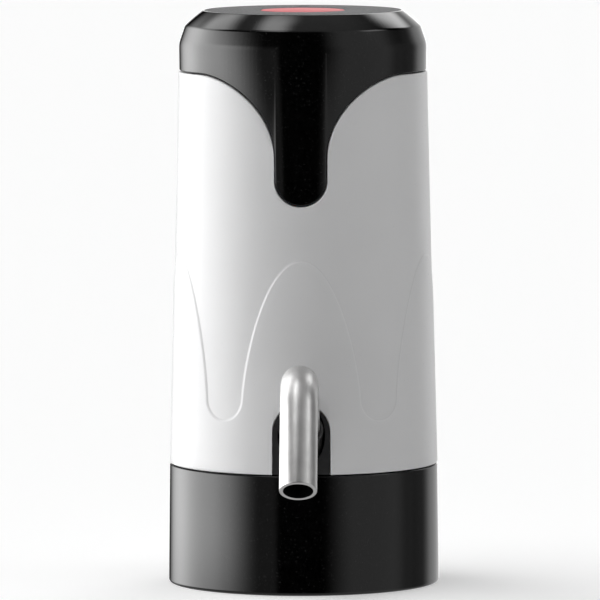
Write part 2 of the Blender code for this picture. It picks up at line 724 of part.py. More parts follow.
def build_port(frame):
    port = port_prism("usb_port", frame, "steel", 0.0, PORT_LENGTH)
    tongue = rectangle(PORT_TONGUE_WIDTH / 2, PORT_TONGUE_THICKNESS / 2)
    hollow_length = PORT_LENGTH - PORT_BACK + OVERRUN + PORT_RECESS
    hollow = port_prism("port_hollow", frame, None, -PORT_WALL, hollow_length, [tongue])
    combine(port, hollow, "DIFFERENCE")


# Battery, motor and their leads

def build_battery(frame):
    top = BATTERY_LEVEL + BATTERY_LENGTH
    shoulder = top - BATTERY_CAP_HEIGHT
    profile = [(0.0, BATTERY_LEVEL), (BATTERY_RADIUS, BATTERY_LEVEL), (BATTERY_RADIUS, shoulder),
               (BATTERY_CAP_RADIUS, shoulder), (BATTERY_CAP_RADIUS, top), (0.0, top)]
    turned("battery_cell", frame, "battery_wrap", profile, MIDDLE_SIDES, (0.0, BATTERY_Y))


def motor_place():
    return (-GEAR_PITCH_RADIUS, PUMP_Y)


def idler_place():
    return (GEAR_PITCH_RADIUS, PUMP_Y)


def build_motor(frame):
    inner = MOTOR_RADIUS - MOTOR_WALL
    floor = MOTOR_LEVEL + MOTOR_WALL
    can = [(SHAFT_HOLE_RADIUS, MOTOR_LEVEL), (MOTOR_RADIUS, MOTOR_LEVEL), (MOTOR_RADIUS, MOTOR_TOP),
           (inner, MOTOR_TOP), (inner, floor), (SHAFT_HOLE_RADIUS, floor)]
    turned("motor_can", frame, "steel", can, MIDDLE_SIDES, motor_place())
    shaft_end = MOTOR_CAP_LEVEL + MOTOR_CAP_THICKNESS / 2
    cap_top = MOTOR_CAP_LEVEL + MOTOR_CAP_THICKNESS
    cap = [(SHAFT_HOLE_RADIUS, MOTOR_CAP_LEVEL), (MOTOR_RADIUS - GAP, MOTOR_CAP_LEVEL),
           (MOTOR_RADIUS - GAP, cap_top), (0.0, cap_top), (0.0, shaft_end + GAP),
           (SHAFT_HOLE_RADIUS, shaft_end + GAP)]
    turned("motor_end_cap", frame, "pump_plastic", cap, MIDDLE_SIDES, motor_place())


def build_rotor(frame):
    # Three-pole armature and commutator on one shaft, which turns about its own origin
    place = motor_place()
    axis = make_empty("motor_axis", frame, (*place, 0.0))
    core_low = MOTOR_LEVEL + (MOTOR_LENGTH - ARMATURE_LENGTH) / 2 - COMMUTATOR_SPACE
    core_high = core_low + ARMATURE_LENGTH
    commutator_low = core_high + COMMUTATOR_SPACE
    commutator_high = commutator_low + COMMUTATOR_LENGTH
    shaft_high = MOTOR_CAP_LEVEL + MOTOR_CAP_THICKNESS / 2
    shaft = [(0.0, GEAR_LEVEL), (SHAFT_RADIUS, GEAR_LEVEL), (SHAFT_RADIUS, commutator_low),
             (COMMUTATOR_RADIUS, commutator_low), (COMMUTATOR_RADIUS, commutator_high),
             (SHAFT_RADIUS, commutator_high), (SHAFT_RADIUS, shaft_high), (0.0, shaft_high)]
    rotor = turned("motor_rotor", axis, "copper", shaft, SMALL_SIDES)
    core = prism("armature_core", axis, None, [armature_outline()], core_low, core_high)
    combine(rotor, core, "UNION")
    return axis


def armature_outline():
    points = []
    pole = 2 * math.pi / ARMATURE_SLOTS
    slot_radius = ARMATURE_RADIUS * ARMATURE_SLOT_SHARE
    slot_half = math.asin(SHAFT_RADIUS / ARMATURE_RADIUS)
    for number in range(ARMATURE_SLOTS):
        start = pole * number + slot_half
        end = pole * (number + 1) - slot_half
        for step in range(POLE_STEPS + 1):
            angle = start + (end - start) * step / POLE_STEPS
            points.append((ARMATURE_RADIUS * math.cos(angle), ARMATURE_RADIUS * math.sin(angle)))
        middle = pole * (number + 1)
        points.append((slot_radius * math.cos(middle), slot_radius * math.sin(middle)))
    return points


def build_lead_pair(name, frame, start, spread, end_place, finish):
    # Two insulated wires that rise to the underside of the board
    for number, side in enumerate((-1, 1), 1):
        lead_name = f"{name}_{number}"
        curve = bpy.data.curves.new(lead_name, "CURVE")
        curve.dimensions = "3D"
        curve.bevel_depth = LEAD_RADIUS
        curve.bevel_resolution = 1
        curve.use_fill_caps = True
        curve.render_resolution_u = 0
        low = Vector(start) + Vector((side * spread, 0.0, GAP))
        high = Vector((end_place[0] + side * LEAD_SPREAD / 2, end_place[1], BOARD_LEVEL - GAP))
        spline = curve.splines.new("POLY")
        spline.points.add(LEAD_STEPS)
        for step, point in enumerate(spline.points):
            share = step / LEAD_STEPS
            ease = share * share * (3 - 2 * share)
            across = low.lerp(high, ease)
            point.co = (across.x, across.y, low.z + (high.z - low.z) * share, 1.0)
        curve.materials.append(make_material(lead_name, *FINISHES[finish]))
        lead = bpy.data.objects.new(lead_name, curve)
        bpy.context.scene.collection.objects.link(lead)
        lead.parent = frame


def build_leads(frame):
    motor_top = MOTOR_CAP_LEVEL + MOTOR_CAP_THICKNESS
    build_lead_pair("motor_lead", frame, (*motor_place(), motor_top), LEAD_SPREAD,
                    (-GEAR_PITCH_RADIUS, -COMPONENT_Y / 2), "red_wire")
    shoulder = BATTERY_LEVEL + BATTERY_LENGTH - BATTERY_CAP_HEIGHT
    build_lead_pair("battery_lead", frame, (0.0, BATTERY_Y, shoulder), BATTERY_CAP_RADIUS + LEAD_SPREAD / 2,
                    (COMPONENT_X, COMPONENT_Y / 2), "red_wire")


# Gear pump

def involute(angle):
    return math.tan(angle) - angle


def gear_outline(turn):
    # Involute flanks, thinned by the backlash, between root and tip circles
    pressure = math.radians(GEAR_PRESSURE_DEG)
    base_radius = GEAR_PITCH_RADIUS * math.cos(pressure)
    tip_radius = GEAR_PITCH_RADIUS + GEAR_TIP
    root_radius = GEAR_PITCH_RADIUS - GEAR_ROOT
    half_tooth = math.pi / 2 / GEAR_TEETH - GEAR_BACKLASH / 2 / GEAR_PITCH_RADIUS
    flank = []
    for radius in (base_radius, GEAR_PITCH_RADIUS, (GEAR_PITCH_RADIUS + tip_radius) / 2, tip_radius):
        local = math.acos(min(base_radius / radius, 1.0))
        flank.append((radius, half_tooth + involute(pressure) - involute(local)))
    flank.insert(0, (root_radius, flank[0][1]))
    points = []
    for tooth in range(GEAR_TEETH):
        middle = turn + 2 * math.pi * tooth / GEAR_TEETH
        for radius, half in flank:
            points.append((radius * math.cos(middle - half), radius * math.sin(middle - half)))
        for radius, half in reversed(flank):
            points.append((radius * math.cos(middle + half), radius * math.sin(middle + half)))
    return points


def build_gears(frame, motor_axis):
    bore = circle(SHAFT_RADIUS + GAP, SMALL_SIDES)
    top = GEAR_LEVEL + GEAR_LENGTH
    prism("drive_gear", motor_axis, "gear_plastic", [gear_outline(0.0), bore], GEAR_LEVEL, top)
    idler_axis = make_empty("idler_axis", frame, (*idler_place(), 0.0))
    half_pitch = math.pi / GEAR_TEETH
    teeth = gear_outline(math.pi + half_pitch)
    prism("idler_gear", idler_axis, "gear_plastic", [teeth, bore], GEAR_LEVEL, top)
    posts("idler_pin", frame, "steel", [idler_place()], IDLER_PIN_RADIUS, GEAR_LEVEL,
          CHAMBER_TOP + IDLER_PIN_SEAT, SMALL_SIDES)


def pump_screw_places():
    return [(sx * PUMP_SCREW_X, PUMP_Y + sy * PUMP_SCREW_Y) for sx in (-1, 1) for sy in (-1, 1)]


def pump_outline():
    return rounded_rectangle(PUMP_HALF_LENGTH, PUMP_HALF_WIDTH, PUMP_CORNER, CORNER_STEPS, (0.0, PUMP_Y))


def chamber_outline():
    # Two overlapping bores with a pocket at each port, as one outline
    points = []
    pocket = NIPPLE_BORE + GAP
    meet = math.acos((pocket - GEAR_PITCH_RADIUS) / CHAMBER_RADIUS)
    rise = math.asin((CHAMBER_RADIUS * math.sin(meet) - PORT_OFFSET) / pocket)
    for sign in (1, -1):
        for step in range(CHAMBER_STEPS + 1):
            angle = meet * (2 * step / CHAMBER_STEPS - 1)
            x = sign * (GEAR_PITCH_RADIUS + CHAMBER_RADIUS * math.cos(angle))
            y = sign * CHAMBER_RADIUS * math.sin(angle)
            points.append((x, PUMP_Y + y))
        for step in range(POCKET_STEPS + 1):
            angle = rise + (math.pi - 2 * rise) * step / POCKET_STEPS
            x = sign * pocket * math.cos(angle)
            y = sign * (PORT_OFFSET + pocket * math.sin(angle))
            points.append((x, PUMP_Y + y))
    return points


def build_pump(frame):
    holes = [circle(SCREW_HOLE_RADIUS, TINY_SIDES, place) for place in pump_screw_places()]
    ports = [(0.0, INLET_Y), (0.0, OUTLET_Y)]
    middle = (NIPPLE_RADIUS + NIPPLE_BORE) / 2
    port_holes = [circle(middle, SMALL_SIDES, place) for place in ports]
    cover = prism("pump_cover", frame, "pump_plastic", [pump_outline(), *holes, *port_holes],
                  PUMP_LEVEL, PUMP_LEVEL + PUMP_COVER_THICKNESS)
    bm = bmesh.new()
    tip = PUMP_LEVEL - NIPPLE_LENGTH
    inside = PUMP_LEVEL + PUMP_COVER_THICKNESS - GAP
    for place in ports:
        nipple = [(NIPPLE_BORE, tip), (NIPPLE_RADIUS, tip), (NIPPLE_RADIUS, inside), (NIPPLE_BORE, inside)]
        add_turned(bm, nipple, SMALL_SIDES, place)
    combine(cover, finish_mesh("pump_nipples", bm, frame, None), "UNION")
    prism("pump_gasket", frame, "silicone", [pump_outline(), *holes, chamber_outline()],
          GASKET_LEVEL, GASKET_LEVEL + PUMP_GASKET_THICKNESS)
    body = prism("pump_body", frame, "pump_plastic", [pump_outline(), *holes],
                 PUMP_BODY_LEVEL, PUMP_BODY_TOP)
    chamber = prism("pump_chamber", frame, None, [chamber_outline()],
                    PUMP_BODY_LEVEL - OVERRUN, CHAMBER_TOP)
    combine(body, chamber, "DIFFERENCE")
    combine(body, motor_seat(frame), "UNION")
    bm = bmesh.new()
    above = MOTOR_PLATE_TOP + OVERRUN
    add_prism(bm, [circle(SHAFT_HOLE_RADIUS, SMALL_SIDES, motor_place())], CHAMBER_TOP - OVERRUN, above)
    pin_hole = circle(IDLER_PIN_RADIUS + GAP, SMALL_SIDES, idler_place())
    add_prism(bm, [pin_hole], CHAMBER_TOP - OVERRUN, CHAMBER_TOP + IDLER_PIN_SEAT + GAP)
    for place in pump_screw_places():
        add_prism(bm, [circle(SCREW_HEAD_RADIUS + GAP, TINY_SIDES, place)], pump_screw_seat() - GAP, above)
    combine(body, finish_mesh("pump_bores", bm, frame, None), "DIFFERENCE")


def motor_seat(frame):
    low = MOTOR_PLATE_TOP - MOTOR_SEAT_PLATE
    inner = MOTOR_RADIUS + GAP
    outer = MOTOR_SEAT_RADIUS
    top = MOTOR_PLATE_TOP + MOTOR_SEAT_DEPTH
    profile = [(0.0, low), (outer, low), (outer, top), (inner, top), (inner, MOTOR_PLATE_TOP),
               (0.0, MOTOR_PLATE_TOP)]
    return turned("motor_seat", frame, None, profile, MIDDLE_SIDES, motor_place())


# Screws

def screw_profile(head_side, under_head, length):
    # head_side is 1 where the head is above its shank, and -1 below it
    top = under_head + head_side * SCREW_HEAD_HEIGHT
    tip = under_head - head_side * length
    profile = [(0.0, top), (SCREW_HEAD_RADIUS, top), (SCREW_HEAD_RADIUS, under_head),
               (SCREW_RADIUS, under_head), (SCREW_RADIUS, tip), (0.0, tip)]
    return profile if head_side > 0 else profile[::-1]


def build_screws(frame):
    long_screw = pump_screw_seat() - PUMP_LEVEL + SCREW_LENGTH
    groups = (("pump_screw", pump_screw_places(), 1, pump_screw_seat(), long_screw),
              ("base_screw", pump_screw_places(), -1, base_screw_seat(), SCREW_LENGTH),
              ("board_screw", board_screw_places(), 1, BOARD_TOP + GAP, SCREW_LENGTH))
    for name, places, head_side, under_head, length in groups:
        profile = screw_profile(head_side, under_head, length)
        for number, place in enumerate(places, 1):
            turned(f"{name}_{number}", frame, "steel", profile, TINY_SIDES, place)


def pump_screw_seat():
    return MOTOR_PLATE_TOP - SCREW_HEAD_HEIGHT - GAP


def base_screw_seat():
    return NECK_DEPTH + SCREW_HEAD_HEIGHT


# Chassis

def arch_outline(inset):
    # Half-width against height, as it is seen from the front
    radius = ARCH_HALF_WIDTH - inset
    points = [(-radius, FLOOR_LEVEL + FLOOR_THICKNESS / 4), (radius, FLOOR_LEVEL + FLOOR_THICKNESS / 4)]
    for step in range(ARCH_STEPS + 1):
        angle = math.pi * step / ARCH_STEPS
        points.append((radius * math.cos(angle), ARCH_CENTRE_LEVEL + radius * math.sin(angle)))
    return points


def arch_face_radius(level):
    return shell_radius(level) + WAVE_RELIEF - ARCH_INSET


def envelope(name, frame, low_radius, face):
    # Solid of the space that the chassis may fill, up to the top of the arched window
    top = ARCH_CENTRE_LEVEL + ARCH_HALF_WIDTH
    low_face = COLLAR_HEIGHT + GAP
    profile = [(0.0, FLOOR_LEVEL + GAP), (low_radius, FLOOR_LEVEL + GAP), (low_radius, low_face),
               (face(low_face), low_face), (face(top), top), (0.0, top)]
    return turned(name, frame, None, profile, ENVELOPE_SIDES)


def build_front_block(frame):
    # Arched boss whose face follows the shell
    bm = bmesh.new()
    reach = RIM_RADIUS + OVERRUN
    depth = RIM_RADIUS - FLOOR_RADIUS + ARCH_BLOCK_DEPTH + OVERRUN
    add_prism(bm, [arch_outline(GAP)], 0.0, depth)
    # The window's sides point at the body's axis, so the block narrows inwards
    for vert in bm.verts:
        vert.co.x *= (reach - depth + vert.co.z) / SHELL_BOTTOM_RADIUS
    block = finish_mesh("front_block", bm, frame, None, (0.0, depth - reach, 0.0), math.pi / 2)
    combine(block, envelope("front_envelope", frame, FLOOR_RADIUS - GAP, arch_face_radius), "INTERSECT")
    return block


def build_socket_boss(frame, socket):
    # Tilted boss behind the face, kept inside the shell's wall
    low = -SOCKET_DEPTH - SOCKET_END_DEPTH - SOCKET_END_WALL
    outer = SOCKET_BORE + SOCKET_WALL
    boss = posts("socket_boss", socket, None, [(0.0, 0.0)], outer, low, OVERRUN, MIDDLE_SIDES)
    narrow = clear_of_shell(ARCH_CENTRE_LEVEL + ARCH_HALF_WIDTH)
    combine(boss, envelope("boss_envelope", frame, narrow, clear_of_shell), "INTERSECT")
    return boss


def clear_of_shell(level):
    return shell_radius(level) - SHELL_WALL - GAP * 2


def build_chassis(frame, socket):
    middle = (INLET_RADIUS + INLET_BORE) / 2
    outlines = [circle(FLOOR_RADIUS, COLLAR_SIDES), circle(middle, SMALL_SIDES, (0.0, INLET_Y))]
    chassis = prism("chassis", frame, "black_gloss", outlines, FLOOR_LEVEL, FLOOR_TOP)
    combine(chassis, build_front_block(frame), "UNION")
    combine(chassis, build_socket_boss(frame, socket), "UNION")
    combine(chassis, inlet_stem(frame), "UNION")
    inside_floor = FLOOR_LEVEL + FLOOR_THICKNESS / 2
    port = posts("outlet_port", frame, None, [(0.0, OUTLET_Y)], OUTLET_PORT_RADIUS, inside_floor,
                 OUTLET_PORT_LEVEL, MIDDLE_SIDES)
    combine(chassis, port, "UNION")
    bm = bmesh.new()
    for place in pump_screw_places():
        add_prism(bm, [circle(POST_RADIUS, SMALL_SIDES, place)], inside_floor, PUMP_LEVEL - GAP)
    for place in board_screw_places():
        add_prism(bm, [circle(BOARD_POST_RADIUS, SMALL_SIDES, place)], inside_floor, BOARD_LEVEL - GAP)
    add_prism(bm, [cradle_outline()], inside_floor, inside_floor + CRADLE_HEIGHT)
    half_length = (OUTLET_Y - socket_end_y()) / 2
    waterway = rectangle(NIPPLE_BORE + WATERWAY_WALL, half_length, (0.0, OUTLET_Y - half_length))
    add_prism(bm, [waterway], inside_floor, OUTLET_CROSS_LEVEL + NIPPLE_BORE + WATERWAY_WALL)
    combine(chassis, finish_mesh("chassis_posts", bm, frame, None), "UNION")
    combine(chassis, chassis_bores(frame), "DIFFERENCE")
    combine(chassis, socket_bores(socket), "DIFFERENCE")
    combine(chassis, cross_bore(frame), "DIFFERENCE")


def cradle_outline():
    inner = BATTERY_RADIUS + GAP
    outer = inner + CRADLE_WALL
    half = math.radians(CRADLE_ANGLE_DEG / 2)
    points = []
    for radius, direction in ((outer, 1), (inner, -1)):
        for step in range(CRADLE_STEPS + 1):
            angle = math.pi / 2 + direction * half * (2 * step / CRADLE_STEPS - 1)
            points.append((radius * math.cos(angle), BATTERY_Y + radius * math.sin(angle)))
    return points


def inlet_stem(frame):
    # Barbed nipple for the drinking hose below, and a spigot for the inner hose above
    tip = INLET_TIP_LEVEL
    barb = INLET_RADIUS + INLET_BARB
    spigot_top = FLOOR_TOP + SPIGOT_LENGTH
    inside_floor = FLOOR_LEVEL + FLOOR_THICKNESS / 2
    profile = [(INLET_BORE, tip), (INLET_RADIUS - INLET_BARB, tip),
               (barb, tip + INLET_BARB_LENGTH), (INLET_RADIUS, tip + INLET_BARB_LENGTH + GAP),
               (INLET_RADIUS, inside_floor), (SPIGOT_RADIUS, inside_floor + GAP),
               (SPIGOT_RADIUS, spigot_top), (INLET_BORE, spigot_top)]
    return turned("inlet_stem", frame, None, profile, SMALL_SIDES, (0.0, INLET_Y))


def chassis_bores(frame):
    bm = bmesh.new()
    below = FLOOR_LEVEL - OVERRUN
    for place in pump_screw_places():
        add_prism(bm, [circle(SCREW_HOLE_RADIUS, TINY_SIDES, place)], below, PUMP_LEVEL + OVERRUN)
    for place in board_screw_places():
        depth = BOARD_LEVEL - SCREW_LENGTH - OVERRUN
        add_prism(bm, [circle(SCREW_HOLE_RADIUS, TINY_SIDES, place)], depth, BOARD_LEVEL + OVERRUN)
    seat = OUTLET_PORT_LEVEL - OUTLET_SEAT_DEPTH
    bore_low = OUTLET_CROSS_LEVEL - NIPPLE_BORE / 2
    wide = seal_bore_radius()
    profile = [(0.0, bore_low), (NIPPLE_BORE, bore_low), (NIPPLE_BORE, seat), (wide, seat),
               (wide, OUTLET_PORT_LEVEL + OVERRUN), (0.0, OUTLET_PORT_LEVEL + OVERRUN)]
    add_turned(bm, profile, SMALL_SIDES, (0.0, OUTLET_Y))
    return finish_mesh("chassis_bores", bm, frame, None)


def seal_bore_radius():
    return NIPPLE_RADIUS + GAP + SEAL_SECTION_RADIUS * 2 + GAP


def socket_bores(socket):
    bm = bmesh.new()
    end = -SOCKET_DEPTH - SOCKET_END_DEPTH
    mouth = SPOUT_RISE
    profile = [(0.0, end), (SOCKET_END_BORE, end), (SOCKET_END_BORE, -SOCKET_DEPTH),
               (SOCKET_BORE, -SOCKET_DEPTH), (SOCKET_BORE, mouth), (0.0, mouth)]
    add_turned(bm, profile, MIDDLE_SIDES)
    return finish_mesh("socket_bores", bm, socket, None)


def socket_end_y():
    end_centre = SOCKET_DEPTH + SOCKET_END_DEPTH / 2
    return -arch_face_radius(SOCKET_LEVEL) + end_centre * math.sin(math.radians(SOCKET_TILT_DEG))


def cross_bore(frame):
    # Level waterway from the outlet port forwards into the socket's end
    start = OUTLET_Y + NIPPLE_BORE / 2
    bm = bmesh.new()
    add_prism(bm, [circle(NIPPLE_BORE - GAP, SMALL_SIDES)], 0.0, start - socket_end_y())
    return finish_mesh("cross_bore", bm, frame, None, (0.0, start, OUTLET_CROSS_LEVEL), math.pi / 2)


# Hose and seal between pump and chassis

def build_hoses(frame):
    inner = SPIGOT_RADIUS + GAP
    outer = inner + HOSE_WALL
    low = FLOOR_TOP + GAP
    high = PUMP_LEVEL - GAP
    narrow = NIPPLE_RADIUS + GAP
    step = PUMP_LEVEL - NIPPLE_LENGTH - GAP
    profile = [(inner, low), (outer, low), (outer, high), (narrow, high), (narrow, step), (inner, step)]
    turned("inlet_hose", frame, "silicone", profile, SMALL_SIDES, (0.0, INLET_Y))
    middle = NIPPLE_RADIUS + GAP + SEAL_SECTION_RADIUS
    level = PUMP_LEVEL - NIPPLE_LENGTH + SEAL_SECTION_RADIUS * 2
    ring = [(middle + x, level + y) for x, y in circle(SEAL_SECTION_RADIUS, SEAL_SIDES)]
    turned("outlet_seal", frame, "black_silicone", ring, SMALL_SIDES, (0.0, OUTLET_Y))


# Spout

def build_spout(socket):
    bore = SPOUT_RADIUS - SPOUT_WALL
    rim = SPOUT_RIM
    along = Vector((0.0, 0.0, 1.0))
    sections = []
    start = -SOCKET_DEPTH + GAP
    sections.append((along * start, along, SPOUT_RADIUS, bore))
    bend = math.radians(SPOUT_BEND_DEG)
    for step in range(SPOUT_BEND_STEPS + 1):
        turn = bend * step / SPOUT_BEND_STEPS
        direction = Vector((0.0, -math.sin(turn), math.cos(turn)))
        drop = -SPOUT_BEND_RADIUS * (1 - math.cos(turn))
        centre = Vector((0.0, drop, SPOUT_RISE + SPOUT_BEND_RADIUS * math.sin(turn)))
        sections.append((centre, direction, SPOUT_RADIUS, bore))
    last, direction = sections[-1][0], sections[-1][1]
    sections.append((last + direction * (SPOUT_DROP - rim), direction, SPOUT_RADIUS, bore))
    sections.append((last + direction * SPOUT_DROP, direction, SPOUT_RADIUS - rim, bore + rim))
    bm = bmesh.new()
    add_sweep(bm, sections, SPOUT_SIDES)
    return finish_mesh("spout", bm, socket, "steel")


def build_bush(socket):
    inner = SPOUT_RADIUS + GAP
    outer = inner + BUSH_WALL
    lip = outer + BUSH_LIP
    low = -SOCKET_DEPTH + GAP
    top = BUSH_PROUD
    shoulder = top - BUSH_LIP_LENGTH
    profile = [(inner, low), (outer, low), (outer, shoulder), (lip, shoulder + BUSH_LIP),
               (lip, top - BUSH_LIP), (outer, top), (inner, top)]
    return turned("spout_bush", socket, "black_silicone", profile, MIDDLE_SIDES)


# Base collar and neck grip

def build_collar(frame):
    inner = COLLAR_TOP_RADIUS - COLLAR_WALL
    ceiling_top = NECK_DEPTH + CEILING_THICKNESS
    fillet = RIM_FILLET
    halfway = fillet * (1 - math.sqrt(0.5))
    profile = [(0.0, NECK_DEPTH), (inner, NECK_DEPTH), (inner, GRIP_LIP_HEIGHT),
               (GRIP_LIP_RADIUS, GRIP_LIP_HEIGHT), (GRIP_LIP_RADIUS, 0.0), (RIM_RADIUS - fillet, 0.0),
               (RIM_RADIUS - halfway, halfway), (RIM_RADIUS, fillet), (COLLAR_TOP_RADIUS, COLLAR_HEIGHT),
               (inner, COLLAR_HEIGHT), (inner, ceiling_top), (0.0, ceiling_top)]
    collar = turned("base_collar", frame, "black_gloss", profile, COLLAR_SIDES)
    bm = bmesh.new()
    hole = INLET_RADIUS + INLET_HOLE_CLEARANCE
    add_prism(bm, [circle(hole, SMALL_SIDES, (0.0, INLET_Y))], NECK_DEPTH - OVERRUN, ceiling_top + OVERRUN)
    for place in pump_screw_places():
        wide = SCREW_HEAD_RADIUS + GAP
        narrow = SCREW_HOLE_RADIUS
        seat = base_screw_seat() + GAP
        profile = [(0.0, NECK_DEPTH - OVERRUN), (wide, NECK_DEPTH - OVERRUN), (wide, seat), (narrow, seat),
                   (narrow, ceiling_top + OVERRUN), (0.0, ceiling_top + OVERRUN)]
        add_turned(bm, profile, TINY_SIDES, place)
    combine(collar, finish_mesh("collar_holes", bm, frame, None), "DIFFERENCE")


def build_grip(frame):
    outer = COLLAR_TOP_RADIUS - COLLAR_WALL - GAP
    inner = outer - GRIP_WALL
    low = GRIP_LIP_HEIGHT + GAP
    high = NECK_DEPTH - GAP
    pitch = (high - low) / GRIP_RIB_COUNT
    inside = []
    for rib in range(GRIP_RIB_COUNT):
        middle = low + pitch * (rib + 0.5)
        inside += [(inner, middle - GRIP_RIB_HEIGHT), (inner - GRIP_RIB, middle),
                   (inner, middle + GRIP_RIB_HEIGHT)]
    profile = [(inner, low), *inside, (inner, high), (outer, high), (outer, low)]
    turned("neck_grip", frame, "silicone", profile, COLLAR_SIDES)


def main():
    clear_scene()
    frame = make_empty("rim_frame", None, (0.0, 0.0, -NECK_DEPTH))
    socket_place = (0.0, -arch_face_radius(SOCKET_LEVEL), SOCKET_LEVEL)
    socket = make_empty("spout_socket", frame, socket_place, math.radians(SOCKET_TILT_DEG))
    build_shell(frame)
    build_cap(frame)
    build_panel(frame)
    build_button(frame)
    build_indicator(frame)
    build_board(frame)
    build_components(frame)
    build_port(frame)
    build_battery(frame)
    build_motor(frame)
    motor_axis = build_rotor(frame)
    build_leads(frame)
    build_gears(frame, motor_axis)
    build_pump(frame)
    build_screws(frame)
    build_chassis(frame, socket)
    build_hoses(frame)
    build_spout(socket)
    build_bush(socket)
    build_collar(frame)
    build_grip(frame)


main()
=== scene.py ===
import json
import math

import bpy
from mathutils import Matrix, Quaternion, Vector


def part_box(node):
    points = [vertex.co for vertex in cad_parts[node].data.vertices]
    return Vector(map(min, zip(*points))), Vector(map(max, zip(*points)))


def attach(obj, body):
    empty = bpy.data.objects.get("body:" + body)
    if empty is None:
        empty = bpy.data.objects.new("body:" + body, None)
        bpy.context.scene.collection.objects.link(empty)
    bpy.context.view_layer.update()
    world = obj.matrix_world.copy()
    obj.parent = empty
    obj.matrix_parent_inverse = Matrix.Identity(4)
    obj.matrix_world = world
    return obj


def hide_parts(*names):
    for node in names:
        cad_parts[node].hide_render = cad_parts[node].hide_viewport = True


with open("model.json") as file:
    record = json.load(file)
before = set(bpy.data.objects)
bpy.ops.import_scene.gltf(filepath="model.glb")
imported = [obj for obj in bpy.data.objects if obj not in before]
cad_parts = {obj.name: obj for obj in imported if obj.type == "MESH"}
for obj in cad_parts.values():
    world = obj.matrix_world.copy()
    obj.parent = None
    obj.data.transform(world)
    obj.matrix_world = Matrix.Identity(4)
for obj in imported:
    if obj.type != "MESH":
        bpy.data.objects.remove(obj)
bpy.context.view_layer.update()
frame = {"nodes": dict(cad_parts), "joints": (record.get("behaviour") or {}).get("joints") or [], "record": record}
nodes = frame["nodes"]
joints = {joint["name"]: joint for joint in frame["joints"]}
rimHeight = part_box("base_collar")[0].z  # the bottled water pump stands on this level
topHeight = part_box("top_cap")[1].z
fullTurn = 2 * math.pi
mergeDistance = 0.000001
sliver = 0.00002  # too thin to see, and wide enough to keep two edges apart
smoothDegrees = 35
cutterSides = 48
print("frame loaded:", len(nodes), "nodes")


# Modelling steps that several pieces share

def deselectAll():
    bpy.ops.object.select_all(action="DESELECT")


def pickPiece(piece):
    deselectAll()
    piece.select_set(True)
    bpy.context.view_layer.objects.active = piece


def nameActive(name):
    piece = bpy.context.object
    piece.name = name
    piece.data.name = name
    return piece


def closeSeams():
    bpy.ops.mesh.select_all(action="SELECT")
    bpy.ops.mesh.remove_doubles(threshold=mergeDistance)
    bpy.ops.mesh.normals_make_consistent(inside=False)


def smoothPiece(piece):
    pickPiece(piece)
    bpy.ops.object.shade_smooth_by_angle(angle=math.radians(smoothDegrees))


def applyModifiers(piece):
    bpy.context.view_layer.objects.active = piece
    for modifier in list(piece.modifiers):
        bpy.ops.object.modifier_apply(modifier=modifier.name)


def placePiece(piece, place, tilt):
    # Turned about X, moved, and then baked into the mesh
    piece.rotation_euler = (tilt, 0, 0)
    piece.location = place
    pickPiece(piece)
    bpy.ops.object.transform_apply(location=True, rotation=True, scale=True)


def filletOutline(corners, bendSteps):
    # Each corner is a radius, a height and the size of its round
    outline = []
    for index, (radius, height, fillet) in enumerate(corners):
        corner = Vector((radius, height))
        if fillet == 0:
            outline.append(corner)
            continue
        backward = (Vector(corners[index - 1][:2]) - corner).normalized()
        forward = (Vector(corners[(index + 1) % len(corners)][:2]) - corner).normalized()
        half = backward.angle(forward) / 2
        centre = corner + (backward + forward).normalized() * fillet / math.sin(half)
        arm = corner + backward * fillet / math.tan(half) - centre
        endArm = corner + forward * fillet / math.tan(half) - centre
        sweep = math.atan2(arm.x * endArm.y - arm.y * endArm.x, arm.dot(endArm))
        for step in range(bendSteps + 1):
            outline.append(centre + Matrix.Rotation(sweep * step / bendSteps, 2) @ arm)
    return outline


def spinOutline(name, outline, steps):
    # One point is drawn out into a closed outline, and then spun round the axis
    deselectAll()
    bpy.ops.mesh.primitive_plane_add(size=mergeDistance)
    piece = nameActive(name)
    bpy.ops.object.mode_set(mode="EDIT")
    bpy.ops.mesh.merge(type="CENTER")
    here = Vector((0, 0, 0))
    for number, point in enumerate(outline + outline[:1]):
        there = Vector((point[0], 0, point[1]))
        if number == 0:
            bpy.ops.transform.translate(value=there - here)
        else:
            bpy.ops.mesh.extrude_region_move(TRANSFORM_OT_translate={"value": there - here})
        here = there
    bpy.ops.mesh.select_all(action="SELECT")
    bpy.ops.mesh.remove_doubles(threshold=mergeDistance)
    bpy.ops.mesh.spin(steps=steps, angle=fullTurn, center=(0, 0, 0), axis=(0, 0, 1))
    closeSeams()
    bpy.ops.object.mode_set(mode="OBJECT")
    smoothPiece(piece)
    return piece


def wrapGrid(name, angles, sectionAt):
    # A grid whose columns stand round the axis and whose rows follow a closed section
    rowCount = len(sectionAt(angles[0]))
    deselectAll()
    bpy.ops.mesh.primitive_grid_add(x_subdivisions=len(angles), y_subdivisions=rowCount, size=1)
    piece = nameActive(name)
    vertices = piece.data.vertices
    for column in range(len(angles) + 1):
        angle = angles[column % len(angles)]
        section = sectionAt(angle)
        for row in range(rowCount + 1):
            radius, height = section[row % rowCount]
            place = (radius * math.sin(angle), -radius * math.cos(angle), height)
            vertices[row * (len(angles) + 1) + column].co = place
    bpy.ops.object.mode_set(mode="EDIT")
    closeSeams()
    bpy.ops.object.mode_set(mode="OBJECT")
    smoothPiece(piece)
    return piece


def addHoleCutter(name, radius, centre, depth, sides=cutterSides, tilt=0):
    deselectAll()
    bpy.ops.mesh.primitive_cylinder_add(vertices=sides, radius=radius, depth=depth, location=centre,
                                        rotation=(tilt, 0, 0))
    return nameActive(name)


